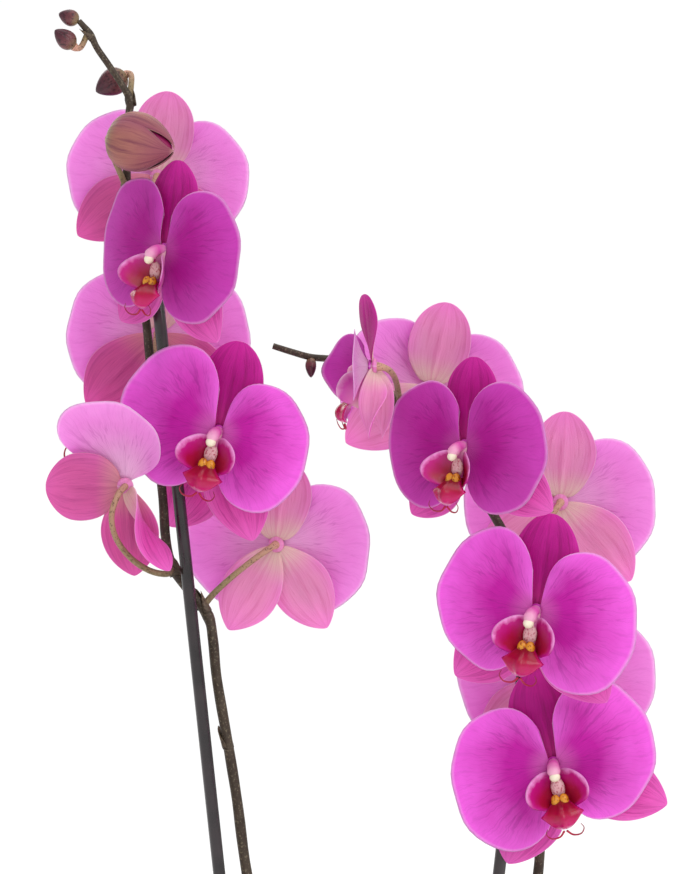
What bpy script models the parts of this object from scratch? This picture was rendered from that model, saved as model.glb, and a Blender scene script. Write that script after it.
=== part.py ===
"""Moth orchid in a square wooden box.

Two arching flower spikes rise from one crown of five leaves and lean on two stakes.
Origin: centre of the underside of the box. +Z up, +X to the right, -Y to the front.
Lengths below are millimetres; meshes are written in metres.
"""

import math

import bmesh
import bpy
from mathutils import Matrix, Vector
from mathutils.geometry import interpolate_bezier

MM = 0.001
GAP = 0.3  # clearance between neighbouring bodies

# planter box
BOX_WIDTH = 170.0
BOX_HEIGHT = 130.0
BOARD = 10.0
MEDIUM_HEIGHT = 108.0
MEDIUM_GRID = 9
BARK_BUMP = 3.0

# crown and leaves; heights on the plant count from the foot of the crown
CROWN_RADIUS = 12.0
CROWN_HEIGHT = 84.0
CROWN_SIDES = 12
CROWN_DEPTH = 26.3  # how deep the crown sits in the bark
CROWN_FOOT = BOARD + GAP + MEDIUM_HEIGHT - CROWN_DEPTH
LEAF_LENGTH = 190.0
LEAF_WIDTH = 66.0
LEAF_THICKNESS = 2.4
# azimuth (degrees), height of the base, length factor, rise at the base, droop at the tip
LEAVES = (
    (240, 36, 1, 34, -38),
    (60, 42, 1.03, 38, -36),
    (300, 52, 0.94, 44, -30),
    (120, 59, 0.9, 48, -24),
    (271, 69, 0.62, 62, 6),
)

# spikes: radius of each stem at both ends, and its centre line, which starts beside the crown
SPIKE_RADII = (2.8, 1.5)
SPIKE_SIDES = 8
SPIKE_FOOT = CROWN_RADIUS + SPIKE_RADII[0] + 2 * GAP
LEFT_SPIKE = (
    (-SPIKE_FOOT, 0, 58), (-18, 0, 82), (-28, 0, 123), (-42, 0, 178), (-51.5, 0, 223), (-56.5, 0, 260),
    (-61, 0, 288), (-66.5, 0, 320), (-68.5, 0, 340), (-71, 0, 352), (-80, 1, 364), (-88.6, 2, 376),
    (-92.1, 1, 390), (-93.5, 0, 410), (-96, 0, 435), (-98.5, 0, 460), (-100.5, 0, 485), (-102, 0, 500),
    (-105.5, 0, 530), (-110, 0, 555), (-111.5, 0, 570), (-111.5, 0, 585), (-110.5, 0, 602.5),
    (-110, 0, 610), (-114, 0, 617.5), (-121, 0, 628), (-126.5, 0, 636), (-130, 0, 643),
    (-135.5, 0, 649.5),
)
RIGHT_SPIKE = (
    (SPIKE_FOOT, 0, 54), (21, 0, 76), (45, 0, 113), (72, 0, 158), (88, 0, 198), (94, 0, 223), (96, 0, 260),
    (98, 0, 290), (98.5, 0, 326), (94, 0, 350), (87.5, 0, 372.5), (74.5, 0, 398), (60, 0, 420),
    (42.5, 0, 440), (25, 2, 457.5), (14, 5, 471), (3, 7, 478), (-8, 6, 480.5), (-19.5, 3, 481.5),
    (-29, 0, 484), (-38.5, 0, 487),
)

# pedicels
PEDICEL_RADIUS = 1.7
PEDICEL_SIDES = 6
PEDICEL_END = 1.15  # how much wider the end at the flower is
FLOWER_REACH = 12.0
BUD_REACH = 7.0

# stakes: foot and top
STAKES = {
    "left_stake": ((-35.4, -7, -52), (-95.9, -7, 512)),
    "right_stake": ((41.5, -7, -52), (85.6, -7, 322)),
}
STAKE_RADIUS = 3.1
STAKE_TIP = 2.0
STAKE_SIDES = 10

# one open flower, before its own size factor
PETAL_LENGTH = 47.0
PETAL_FAN = 86.0  # half angle of the petal, degrees
PETAL_TURN = 92.0  # angle at which its outline would close
PETAL_TALL = 0.9  # height of the petal as a share of a round fan
PETAL_GRID = (3, 6)  # rows from foot to rim, columns across
SEPAL_LENGTH = 0.957 * PETAL_LENGTH
SIDE_SEPAL_LENGTH = 1.106 * PETAL_LENGTH
SEPAL_WIDTH = 0.745 * PETAL_LENGTH
SEPAL_GRID = (4, 4)
FOOT_HALF = 2.6  # half width of a blade at its foot
FOOT_REACH = 2.0  # distance of the foot from the axis of the flower
BLADE_THICKNESS = 1.0
HUB_RADIUS = 4.2
SEPAL_LAYER = -2.6
SEPAL_HUB = 2.4  # thickness of the disc that joins the sepals
SEPAL_FOOT_ANGLE = 34
PETAL_LAYER = 0.6
PETAL_HUB = 2.0
PETAL_HUB_INSET = 0.6
PETAL_FOOT_ANGLE = 52
COLUMN = ((0.3, 2.6, 0.0), (5.0, 2.2, 0.5), (8.5, 2.8, -0.2), (10.0, 1.8, -0.6))  # reach, radius, rise
LIP_CENTRE = (0.0, -14.0, 6.5)
LIP_RING = 2.6
LIP_SIZE = 1.1
LIP_THICKNESS = 1.0
LIP_HUB = 1.6
# rows of the claw that reaches back under the column and of the tongue (half width, height, reach), and of
# a tendril (distance from the middle, height, reach)
CLAW = ((1.8, 5.0, -2.0), (1.6, 9.6, -3.6))
TONGUE = ((5.5, -7.0, 3.0), (8.0, -12.0, 6.0), (2.6, -17.0, 7.0))
TENDRIL = ((5.0, -20.0, 9.0), (7.5, -17.0, 12.0), (6.0, -13.0, 13.0))
# rows of a side lobe: distance from the middle, height, reach, half height
SIDE_LOBE = ((6.5, 1.5, 3.0, 5.0), (10.5, 3.0, 6.0, 6.5), (12.0, 4.0, 10.0, 3.0))

# angle of each blade about the flower's centre
BLADES = {"top_sepal": 90, "left_sepal": -135, "right_sepal": -45, "right_petal": 0, "left_petal": 180}
# blades that sit otherwise: angle, lift to the front, curl back, turn about the length, length factor,
# width factor
ARRANGED = {
    "left_flower_2": {
        "right_sepal": (-55, 0, 6, 0, 1.0, 1.0), "right_petal": (-8, -4, 0, 0, 1.0, 1.0),
        "left_petal": (172, -4, 0, 0, 1.0, 1.0),
    },
    "left_flower_4": {
        "left_sepal": (-112, -25, 0, 0, 1.26, 1.12), "right_sepal": (-61, 0, 4, 0, 1.04, 1.0),
        "left_petal": (180, 0, 0, 0, 1.05, 1.0), "right_petal": (0, 0, 0, 0, 0.95, 1.0),
    },
    "left_flower_5": {
        "top_sepal": (-4, -6, 0, 0, 0.86, 1.05), "left_sepal": (236, -32, 0, 130, 0.9, 0.6),
        "right_sepal": (265, 0, 0, 0, 0.85, 0.85), "right_petal": (84, -14, 0, 0, 0.93, 0.8),
        "left_petal": (262, -2, 0, 0, 0.7, 0.26),
    },
    "left_flower_6": {"left_sepal": (-127, 3, 0, 0, 0.93, 0.9), "right_sepal": (-67, -7, 0, 0, 0.93, 0.9)},
    "right_flower_1": {
        "top_sepal": (90, 12, 0, 30, 0.8, 0.9), "left_sepal": (-122, -10, 0, 0, 0.85, 0.7),
        "right_sepal": (-64, -8, 0, 0, 0.8, 0.6), "right_petal": (0, 6, 0, 0, 0.93, 0.5),
        "left_petal": (180, 8, -42, 0, 0.72, 0.65),
    },
    "right_flower_3": {"right_sepal": (-33, 0, 8, 0, 1.03, 1.0), "left_petal": (180, 2, 0, 0, 0.98, 1.0)},
    "right_flower_7": {
        "left_sepal": (-126.5, 0, 3, 0, 1.0, 1.0), "right_sepal": (-32, 0, 4, 0, 1.06, 1.0),
        "left_petal": (180, 0, 0, 0, 1.03, 1.0),
    },
}
# where such a blade leaves the disc, if not at its own angle
FEET = {
    "left_flower_6": {"left_sepal": -136, "right_sepal": -58},
    "right_flower_1": {"left_sepal": -129, "right_sepal": -52},
    "left_flower_4": {"left_sepal": -148, "right_sepal": -45},
    "left_flower_5": {"left_sepal": 215, "right_sepal": 290, "left_petal": 250},
}
LIP_SWING = {"left_flower_5": 95}  # degrees about the face of the flower

# flower: centre, yaw (0 faces the front, negative turns left), pitch, roll, size, forward lift of petals,
# height on the spike at which its pedicel leaves
FLOWERS = {
    "left_flower_1": ((-98, 28, 574), 180, 0, 8, 0.95, 0, 538),
    "left_flower_2": ((-91, -30, 533), -40, 0, -5, 0.97, -4, 512),
    "left_flower_3": ((-98, 30, 494), 180, 0, 0, 0.96, 0, 468),
    "left_flower_4": ((-65, -18, 444), -11, 0, -13, 1, 0, 453),
    "left_flower_5": ((-111, -16, 418), 180, 15, 0, 1, 0, 376),
    "left_flower_6": ((-37, 20, 387), 170, 0, 5, 0.98, 4, 352),
    "right_flower_1": ((10, -34, 476), -98, 0, 0, 0.92, 0, 457),
    "right_flower_2": ((41, 34, 466.5), 180, 0, 12, 0.97, 0, 434),
    "right_flower_3": ((56, -28, 437), -37, 0, -3, 0.96, -2, 410),
    "right_flower_4": ((106.5, 20, 408.5), 180, 0, 3, 1, 0, 376),
    "right_flower_5": ((90.5, -40, 357), -20, 0, -8, 1.04, 0, 340),
    "right_flower_6": ((105.5, 28, 318.5), 180, 0, 0, 1.03, 0, 300),
    "right_flower_7": ((100, -25, 281), -7, 0, 12, 1.03, 0, 264),
}
# points that a pedicel passes on its way from the stem to the flower or bud
PEDICEL_WAY = {
    "left_flower_5": (
        (-91, -9, 373.5), (-99, -17, 375.5), (-108, -22, 382), (-115, -25, 392), (-117, -26, 403),
        (-114, -25, 413),
    ),
}

# buds: centre, length, width, direction of the tip, height on the spike at which the pedicel leaves
BUDS = {
    "left_bud_1": ((-142.5, -2, 640.5), 13, 10.5, (-0.6, -0.3, 0.5), 643),
    "left_bud_2": ((-120.5, 12, 620), 18, 15, (-0.8, -0.2, -0.5), 610),
    "left_bud_3": ((-102.8, -21, 586), 35.5, 29, (0.93, -0.3, -0.22), 563),
}
# small closed buds that are still one piece with the spike: spike, centre, length, width
TIP_BUDS = (("left_spike", (-141, 0, 651.5), 10, 9), ("right_spike", (-19.5, 1, 475), 8, 6))

# looks: colour, roughness
WOOD = ((0.72, 0.56, 0.38), 0.6)
BARK = ((0.30, 0.19, 0.12), 0.85)
GREEN = ((0.20, 0.36, 0.14), 0.35)
OLIVE = ((0.38, 0.36, 0.22), 0.5)
LACQUER = ((0.08, 0.05, 0.06), 0.25)
ROSE = ((0.86, 0.42, 0.68), 0.5)
LILAC = ((0.86, 0.36, 0.84), 0.5)
CRIMSON = ((0.78, 0.10, 0.36), 0.45)
BUD = ((0.50, 0.30, 0.28), 0.5)


def material(name, colour, roughness):
    found = bpy.data.materials.new(name)
    found.use_nodes = True
    shader = found.node_tree.nodes["Principled BSDF"]
    linear = [((c + 0.055) / 1.055) ** 2.4 if c > 0.04045 else c / 12.92 for c in colour]
    shader.inputs["Base Color"].default_value = (*linear, 1.0)
    shader.inputs["Roughness"].default_value = roughness
    return found


def add(name, solid, look, smooth=True):
    """Makes one object from (points in mm, faces)."""
    points, faces = solid
    mesh = bpy.data.meshes.new(name)
    mesh.from_pydata([tuple(c * MM for c in p) for p in points], [], faces)
    mesh.validate()
    work = bmesh.new()
    work.from_mesh(mesh)
    bmesh.ops.recalc_face_normals(work, faces=work.faces)
    work.to_mesh(mesh)
    work.free()
    for face in mesh.polygons:
        face.use_smooth = smooth
    thing = bpy.data.objects.new(name, mesh)
    bpy.context.scene.collection.objects.link(thing)
    thing.data.materials.append(material(name, *look))
    return thing


def fuse(base, tools, operation="UNION"):
    """Joins or cuts with the tools, leaving one plain mesh."""
    for tool in tools:
        step = base.modifiers.new(operation.lower(), "BOOLEAN")
        step.operation = operation
        step.solver = "EXACT"
        step.object = tool
    graph = bpy.context.evaluated_depsgraph_get()
    joined = bpy.data.meshes.new_from_object(base.evaluated_get(graph))
    base.modifiers.clear()
    base.data = joined
    look = base.data.materials[0]
    base.data.materials.clear()
    base.data.materials.append(look)
    for face in base.data.polygons:
        face.material_index = 0
    for tool in tools:
        bpy.data.objects.remove(tool)
    return base


def block(low, high):
    points = [(x, y, z) for x in (low[0], high[0]) for y in (low[1], high[1]) for z in (low[2], high[2])]
    faces = [(0, 1, 3, 2), (4, 6, 7, 5), (0, 4, 5, 1), (2, 3, 7, 6), (0, 2, 6, 4), (1, 5, 7, 3)]
    return points, faces


def smooth_path(knots, steps):
    """Catmull-Rom curve through the knots."""
    knots = [Vector(k) for k in knots]
    ends = [2 * knots[0] - knots[1]] + knots + [2 * knots[-1] - knots[-2]]
    path = []
    for a, b, c, d in zip(ends, ends[1:], ends[2:], ends[3:]):
        for step in range(steps):
            t = step / steps
            path.append(0.5 * (2 * b + (c - a) * t + (2 * a - 5 * b + 4 * c - d) * t**2
                               + (3 * b - a - 3 * c + d) * t**3))
    return path + [knots[-1]]


def tube(path, radii, sides):
    """Round tube along the path, closed at both ends; radii has one value for each point."""
    side = (path[1] - path[0]).orthogonal().normalized()
    points = []
    for i, here in enumerate(path):
        ahead = (path[min(i + 1, len(path) - 1)] - path[max(i - 1, 0)]).normalized()
        side = (side - ahead * side.dot(ahead)).normalized()
        up = ahead.cross(side)
        for k in range(sides):
            turn = 2 * math.pi * k / sides
            points.append(here + (side * math.cos(turn) + up * math.sin(turn)) * radii[i])
    faces = []
    for i in range(len(path) - 1):
        for k in range(sides):
            a, b = i * sides + k, i * sides + (k + 1) % sides
            faces.append((a, b, b + sides, a + sides))
    faces.append(tuple(range(sides))[::-1])
    faces.append(tuple(range(len(points) - sides, len(points))))
    return points, faces


def slab(front, back):
    """Closed body between two equal grids of points."""
    rows, columns = len(front), len(front[0])
    total = rows * columns
    faces = []
    for i in range(rows - 1):
        for j in range(columns - 1):
            a = i * columns + j
            faces.append((a, a + 1, a + columns + 1, a + columns))
            faces.append((total + a, total + a + columns, total + a + columns + 1, total + a + 1))
    rim = list(range(columns))
    rim += [i * columns + columns - 1 for i in range(1, rows)]
    rim += [(rows - 1) * columns + j for j in range(columns - 2, -1, -1)]
    rim += [i * columns for i in range(rows - 2, 0, -1)]
    for a, b in zip(rim, rim[1:] + rim[:1]):
        faces.append((a, a + total, b + total, b))
    return [p for line in (*front, *back) for p in line], faces


def plate(grid, thickness):
    """Closed plate whose middle surface is the grid of points."""
    rows, columns = len(grid), len(grid[0])
    front, back = [], []
    for i in range(rows):
        front.append([])
        back.append([])
        for j in range(columns):
            along = grid[min(i + 1, rows - 1)][j] - grid[max(i - 1, 0)][j]
            across = grid[i][min(j + 1, columns - 1)] - grid[i][max(j - 1, 0)]
            normal = along.cross(across).normalized() * thickness / 2
            front[i].append(grid[i][j] + normal)
            back[i].append(grid[i][j] - normal)
    return slab(front, back)


def egg(centre, length, width, direction, rings=6, sides=8):
    """Closed bud, broad near its base, pointed at the tip."""
    axis = Vector(direction).normalized()
    path = [Vector(centre) + axis * length * (k / rings - 0.5) for k in range(rings + 1)]
    radii = []
    for k in range(rings + 1):
        t = k / rings
        radii.append(max(0.4, width / 2 * math.sin(math.pi * t**0.8) ** 0.75 if 0 < t < 1 else 0.0))
    return tube(path, radii, sides)


def petal_point(length, breadth, reach, q):
    """Point of a broad fan: x along the petal, y across, z to the front of the flower."""
    turn = PETAL_FAN * q * breadth
    edge = (1 - (abs(turn) / PETAL_TURN / breadth) ** 5) ** 0.7
    turn = math.radians(turn)
    x = FOOT_REACH + length * edge * reach * math.cos(turn)
    y = FOOT_HALF * q * (1 - reach) + PETAL_TALL * length * edge * reach * math.sin(turn)
    r = min(1.0, math.hypot(x, y) / length)
    return Vector((x, y, 2.5 * math.sin(math.pi * r) - 1.5 * r * r))


def sepal_point(length, breadth, reach, q):
    """Point of an oval sepal, narrow at its foot and blunt at its tip, axes as for a petal."""
    belly = math.sin(math.pi * min(reach**1.15, 0.97)) ** 0.9
    half = FOOT_HALF * (1 - reach) + 1.2 * reach + (SEPAL_WIDTH * breadth / 2 - 2) * belly
    dip = 3.0 * reach**2 + 1.2 * q * q * math.sin(math.pi * reach)
    return Vector((FOOT_REACH + (length - FOOT_REACH) * reach, q * half, -dip))


def blade(shape, length, size, pose):
    """Rows of points of one sepal or petal, swung about the flower's centre; the first row is left out."""
    angle, lift, curl, turn, factor, breadth = pose
    rows, columns = size
    swing = Matrix.Rotation(math.radians(angle), 4, "Z") @ Matrix.Rotation(math.radians(-lift), 4, "Y")
    grid = []
    for i in range(1, rows + 1):
        reach = i / rows
        twist = Matrix.Rotation(math.radians(turn) * reach**0.5, 4, "X")
        line = []
        for j in range(columns + 1):
            point = twist @ shape(length * factor, breadth, reach, 2 * j / columns - 1)
            point.z -= curl * (point.x / length) ** 2
            line.append(swing @ point)
        grid.append(line)
    return grid


def lobed(lobes, radius, centre, blade, middle):
    """Closed plate with lobes round a small disc.

    A lobe is (angle of its foot, half angle of its foot, rows of points counted from the disc).
    Blades are as thick as blade, the disc as thick as middle. Returns the solid and the disc's front ring.
    """
    lobes = sorted(lobes, key=lambda lobe: lobe[0] % 360)
    points, faces, thick, ring = [], [], [], []
    for angle, half, rows in lobes:
        last = len(rows[0]) - 1
        line = []
        for j in range(last + 1):
            turn = math.radians(angle + half * (2 * j / last - 1))
            line.append(len(points))
            points.append(centre + Vector((radius * math.cos(turn), radius * math.sin(turn), 0)))
            thick.append(middle)
        ring += line
        for row in rows:
            fresh = []
            for j, point in enumerate(row):
                if point is None:
                    fresh.append(None)
                    continue
                fresh.append(len(points))
                points.append(point + centre)
                thick.append(blade)
            for j in range(last):
                corners = (line[j], fresh[j], fresh[j + 1], line[j + 1])
                if None not in corners:
                    faces.append(corners)
            line = fresh
    faces.append(tuple(ring))
    normals = [Vector() for _ in points]
    for face in faces:
        flat = sum((points[a].cross(points[b]) for a, b in zip(face, face[1:] + face[:1])), Vector())
        for a in face:
            normals[a] += flat.normalized()
    total = len(points)
    front = [p + n.normalized() * t / 2 for p, n, t in zip(points, normals, thick)]
    back = [p - n.normalized() * t / 2 for p, n, t in zip(points, normals, thick)]
    solid = list(faces)
    solid += [tuple(total + a for a in reversed(face)) for face in faces]
    edges = {(a, b) for face in faces for a, b in zip(face, face[1:] + face[:1])}
    solid += [(b, a, a + total, b + total) for a, b in sorted(edges) if (b, a) not in edges]
    return (front + back, solid), ring


def flower_frame(centre, yaw, pitch, roll, size):
    """Flower axes: x right, y to the top sepal, z out of the face of the flower."""
    upright = Matrix(((1, 0, 0, 0), (0, 0, -1, 0), (0, 1, 0, 0), (0, 0, 0, 1)))
    turned = Matrix.Rotation(math.radians(yaw), 4, "Z") @ Matrix.Rotation(math.radians(-pitch), 4, "X")
    spin = Matrix.Rotation(math.radians(roll), 4, "Z")
    return Matrix.Translation(centre) @ turned @ upright @ spin @ Matrix.Scale(size, 4)


def moved(solid, place):
    return [place @ Vector(p) for p in solid[0]], solid[1]


def grow_column(solid, ring):
    """Draws the front of the petals' disc out into the column with its rounded cap."""
    points, faces = list(solid[0]), [f for f in solid[1] if f != tuple(ring)]
    middle = sum((points[a] for a in ring), Vector()) / len(ring)
    line = ring
    for reach, radius, rise in COLUMN:
        fresh = []
        for a in ring:
            spoke = (points[a] - middle).normalized() * radius
            fresh.append(len(points))
            points.append(middle + spoke + Vector((0, rise, reach)))
        for k in range(len(ring)):
            m = (k + 1) % len(ring)
            faces.append((line[k], line[m], fresh[m], fresh[k]))
        line = fresh
    faces.append(tuple(line))
    return points, faces


def lip():
    """Claw, middle lobe with two tendrils and two upright side lobes, axes of the flower."""
    claw = [[Vector((half * q, y, z)) for q in (1, 0, -1)] for half, y, z in CLAW]
    tongue = [[Vector((half * q, y, z - 2 * q * q)) for q in (-1, 0, 1)] for half, y, z in TONGUE]
    tongue += [[Vector((-out, y, z)), None, Vector((out, y, z))] for out, y, z in TENDRIL]
    lobes = [(-90, 32, tongue), (90, 32, claw)]
    for side in (-1, 1):
        lobe = []
        for x, y, z, half in SIDE_LOBE:
            line = [Vector((side * (x - 1.2 * (1 - q * q)), y + half * q, z + 0.8 * q)) for q in (-1, 0, 1)]
            lobe.append(line if side > 0 else line[::-1])
        lobes.append((12 if side > 0 else 168, 26, lobe))
    points, faces = lobed(lobes, LIP_RING, Vector(), LIP_THICKNESS, LIP_HUB)[0]
    return [Vector(LIP_CENTRE) + p * LIP_SIZE for p in points], faces


def flower(name, centre, yaw, pitch, roll, size, lift):
    """One open flower: the sepals behind, the petals with the column before them, and the lip in front."""
    place = flower_frame(centre, yaw, pitch, roll, size)
    sepals, petals = [], []
    for part, usual in BLADES.items():
        petal = part.endswith("petal")
        pose = ARRANGED.get(name, {}).get(part, (usual, lift if petal else lift / 2, 0, 0, 1.0, 1.0))
        foot = FEET.get(name, {}).get(part, pose[0])
        if petal:
            petals.append((foot, PETAL_FOOT_ANGLE, blade(petal_point, PETAL_LENGTH, PETAL_GRID, pose)))
        else:
            length = SEPAL_LENGTH if part == "top_sepal" else SIDE_SEPAL_LENGTH
            sepals.append((foot, SEPAL_FOOT_ANGLE, blade(sepal_point, length, SEPAL_GRID, pose)))
    solid, _ = lobed(sepals, HUB_RADIUS, Vector((0, 0, SEPAL_LAYER)), BLADE_THICKNESS, SEPAL_HUB)
    add(name + "_sepals", moved(solid, place), ROSE)
    radius = HUB_RADIUS - PETAL_HUB_INSET
    solid, ring = lobed(petals, radius, Vector((0, 0, PETAL_LAYER)), BLADE_THICKNESS, PETAL_HUB)
    add(name + "_petals", moved(grow_column(solid, ring), place), LILAC)
    spin = Matrix.Rotation(math.radians(LIP_SWING.get(name, 0)), 4, "Z")
    add(name + "_lip", moved(lip(), place @ spin), CRIMSON)


def pedicel(path, name, height, end, axis, reach):
    """Stalk from the stem to a flower or bud, arriving along its axis."""
    start = min(path[len(path) // 3:], key=lambda p: abs(p.z - height))
    if name in PEDICEL_WAY:
        curve = smooth_path([start, *PEDICEL_WAY[name], end - axis], 2)
    else:
        leave = (end - start).normalized() * 0.5 + Vector((0, 0, 0.5))
        curve = interpolate_bezier(start, start + leave * reach, end - axis * reach, end - axis, 6)
    curve = [Vector(p) for p in curve] + [end]
    widths = [PEDICEL_RADIUS] * (len(curve) - 1) + [PEDICEL_RADIUS * PEDICEL_END]
    return tube(curve, widths, PEDICEL_SIDES)


def spike(name, knots, pedicels, tips):
    path = smooth_path(knots, 2)
    last = len(path) - 1
    low, high = SPIKE_RADII
    radii = [low + (high - low) * (i / last) ** 1.5 for i in range(last + 1)]
    body = add(name, tube(path, radii, SPIKE_SIDES), OLIVE)
    tools = []
    for values in pedicels:
        tools.append(add("tool", pedicel(path, *values), OLIVE))
    for centre, length, width in tips:
        nearest = min(path, key=lambda p: (p - Vector(centre)).length)
        away = Vector(centre) - nearest
        reach = away.length + length / 2
        away.normalize()
        tools.append(add("tool", egg(nearest + away * reach / 2, reach, width, away, 5, 6), OLIVE))
    fuse(body, tools)


def leaf(name, azimuth, height, factor, rise, droop):
    rows, columns = 9, 4
    length = LEAF_LENGTH * factor
    out = Vector((math.cos(math.radians(azimuth)), math.sin(math.radians(azimuth)), 0))
    across = Vector((-out.y, out.x, 0))
    here = out * (CROWN_RADIUS + LEAF_THICKNESS + GAP) + Vector((0, 0, height))
    grid = []
    for i in range(rows + 1):
        t = i / rows
        slope = math.radians(rise + (droop - rise) * t)
        belly = math.sin(math.pi * min(1.0, t * 0.98 + 0.02)) ** 0.7
        half = LEAF_WIDTH / 2 * factor**0.3 * (0.22 + 0.78 * belly)
        if t > 0.6:
            half *= max(0.12, 1 - ((t - 0.6) / 0.4) ** 2.6)
        fold = 0.34 * (1 - t) + 0.10
        normal = Vector((-out.x * math.sin(slope), -out.y * math.sin(slope), math.cos(slope)))
        line = []
        for j in range(columns + 1):
            q = 2 * j / columns - 1
            line.append(here + across * half * q + normal * (half * fold * abs(q) ** 1.4))
        grid.append(line)
        here = here + (out * math.cos(slope) + Vector((0, 0, math.sin(slope)))) * length / rows
    add(name, plate(grid, LEAF_THICKNESS), GREEN)


def planter():
    half, inner = BOX_WIDTH / 2, BOX_WIDTH / 2 - BOARD
    add("front_board", block((-half, -half, 0), (half, -inner, BOX_HEIGHT)), WOOD, False)
    add("back_board", block((-half, inner, 0), (half, half, BOX_HEIGHT)), WOOD, False)
    add("left_board", block((-half, -inner + GAP, 0), (-inner, inner - GAP, BOX_HEIGHT)), WOOD, False)
    add("right_board", block((inner, -inner + GAP, 0), (half, inner - GAP, BOX_HEIGHT)), WOOD, False)
    edge = inner - GAP
    add("base_board", block((-edge, -edge, 0), (edge, edge, BOARD)), WOOD, False)


def bark_medium():
    """Block of bark that fills the box, bumpy on top, with blind holes for the crown and the stakes."""
    edge = BOX_WIDTH / 2 - BOARD - GAP
    floor = BOARD + GAP
    top, bottom = [], []
    for i in range(MEDIUM_GRID + 1):
        x = edge * (2 * i / MEDIUM_GRID - 1)
        top.append([])
        bottom.append([])
        for j in range(MEDIUM_GRID + 1):
            y = edge * (2 * j / MEDIUM_GRID - 1)
            bump = math.sin(0.31 * x + 1.3 * math.sin(0.17 * y))
            bump *= math.cos(0.27 * y - 0.9 * math.sin(0.21 * x))
            top[i].append(Vector((x, y, floor + MEDIUM_HEIGHT + BARK_BUMP * bump)))
            bottom[i].append(Vector((x, y, floor)))
    body = add("bark_medium", slab(top, bottom), BARK)
    rise = Vector((0, 0, CROWN_FOOT))
    over = CROWN_DEPTH + 2 * BARK_BUMP
    hole = [rise - Vector((0, 0, GAP)), rise + Vector((0, 0, over))]
    tools = [add("tool", tube(hole, [CROWN_RADIUS + GAP] * 2, CROWN_SIDES), BARK)]
    for foot, head in STAKES.values():
        foot, head = Vector(foot), Vector(head)
        along = (head - foot).normalized()
        hole = [rise + foot - along * GAP, rise + foot + along * (over - foot.z) / along.z]
        tools.append(add("tool", tube(hole, [STAKE_RADIUS + GAP] * 2, STAKE_SIDES), BARK))
    fuse(body, tools, "DIFFERENCE")


def crown():
    heights = (0, CROWN_DEPTH, CROWN_HEIGHT * 0.7, CROWN_HEIGHT)
    radii = (CROWN_RADIUS, CROWN_RADIUS, CROWN_RADIUS * 0.95, CROWN_RADIUS / 2)
    add("crown", tube([Vector((0, 0, z)) for z in heights], radii, CROWN_SIDES), GREEN)


def stakes():
    for name, (foot, head) in STAKES.items():
        foot, head = Vector(foot), Vector(head)
        tip = head + (head - foot).normalized() * STAKE_TIP
        radii = [STAKE_RADIUS, STAKE_RADIUS, STAKE_RADIUS * 0.6]
        add(name, tube([foot, head, tip], radii, STAKE_SIDES), LACQUER)


def plant():
    """Crown, leaves, stakes, flowers, buds and spikes; heights count from the foot of the crown."""
    crown()
    for number, values in enumerate(LEAVES, 1):
        leaf(f"leaf_{number}", *values)
    stakes()
    pedicels = {"left_spike": [], "right_spike": []}
    for name, (centre, yaw, pitch, roll, size, lift, height) in FLOWERS.items():
        flower(name, centre, yaw, pitch, roll, size, lift)
        place = flower_frame(centre, yaw, pitch, roll, size)
        axis = (place.to_3x3() @ Vector((0, 0, 1))).normalized()
        end = Vector(centre) + axis * ((SEPAL_LAYER - SEPAL_HUB / 2) * size - GAP)
        pedicels[name.split("_")[0] + "_spike"].append((name, height, end, axis, FLOWER_REACH))
    for name, (centre, length, width, direction, height) in BUDS.items():
        add(name, egg(centre, length, width, direction), BUD)
        axis = Vector(direction).normalized()
        end = Vector(centre) - axis * (length / 2 + GAP)
        pedicels["left_spike"].append((name, height, end, axis, BUD_REACH))
    tips = {"left_spike": [], "right_spike": []}
    for where, centre, length, width in TIP_BUDS:
        tips[where].append((centre, length, width))
    spike("left_spike", LEFT_SPIKE, pedicels["left_spike"], tips["left_spike"])
    spike("right_spike", RIGHT_SPIKE, pedicels["right_spike"], tips["right_spike"])


def build():
    for thing in list(bpy.data.objects):
        bpy.data.objects.remove(thing)
    planter()
    bark_medium()
    box_pieces = set(bpy.data.objects)
    plant()
    foot = bpy.data.objects.new("plant", None)
    bpy.context.scene.collection.objects.link(foot)
    foot.location.z = CROWN_FOOT * MM
    for thing in set(bpy.data.objects) - box_pieces - {foot}:
        thing.parent = foot


build()
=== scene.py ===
"""Moth orchid with two flower spikes in a square pine box, built over its CAD frame.

Sizes in the tables and in the named values are millimetres, unless they say otherwise, and the meshes are
in metres. Flower axes: x to the right, y to the top sepal, z out of the face of the flower.
"""

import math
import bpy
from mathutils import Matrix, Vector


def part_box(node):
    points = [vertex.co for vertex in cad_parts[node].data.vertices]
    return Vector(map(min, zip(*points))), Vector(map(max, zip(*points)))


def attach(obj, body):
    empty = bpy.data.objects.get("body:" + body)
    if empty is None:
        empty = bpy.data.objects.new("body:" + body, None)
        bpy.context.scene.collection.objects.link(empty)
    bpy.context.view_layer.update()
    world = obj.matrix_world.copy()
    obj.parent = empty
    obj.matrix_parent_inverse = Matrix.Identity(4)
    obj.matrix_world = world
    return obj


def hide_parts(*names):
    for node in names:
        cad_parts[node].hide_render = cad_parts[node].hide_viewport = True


bl_info = {
    "name": "Potted Moth Orchid",
    "version": (1, 0, 0),
    "blender": (4, 5, 0),
    "location": "3D View > Sidebar > Orchid",
    "description": "Builds a two-spiked moth orchid in a pine box over its CAD frame",
    "category": "Add Mesh",
}

import bmesh
import bpy
import numpy as np
from bpy.props import FloatProperty, FloatVectorProperty, IntProperty, PointerProperty
from mathutils import Matrix, Vector
from mathutils.geometry import interpolate_bezier

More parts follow.
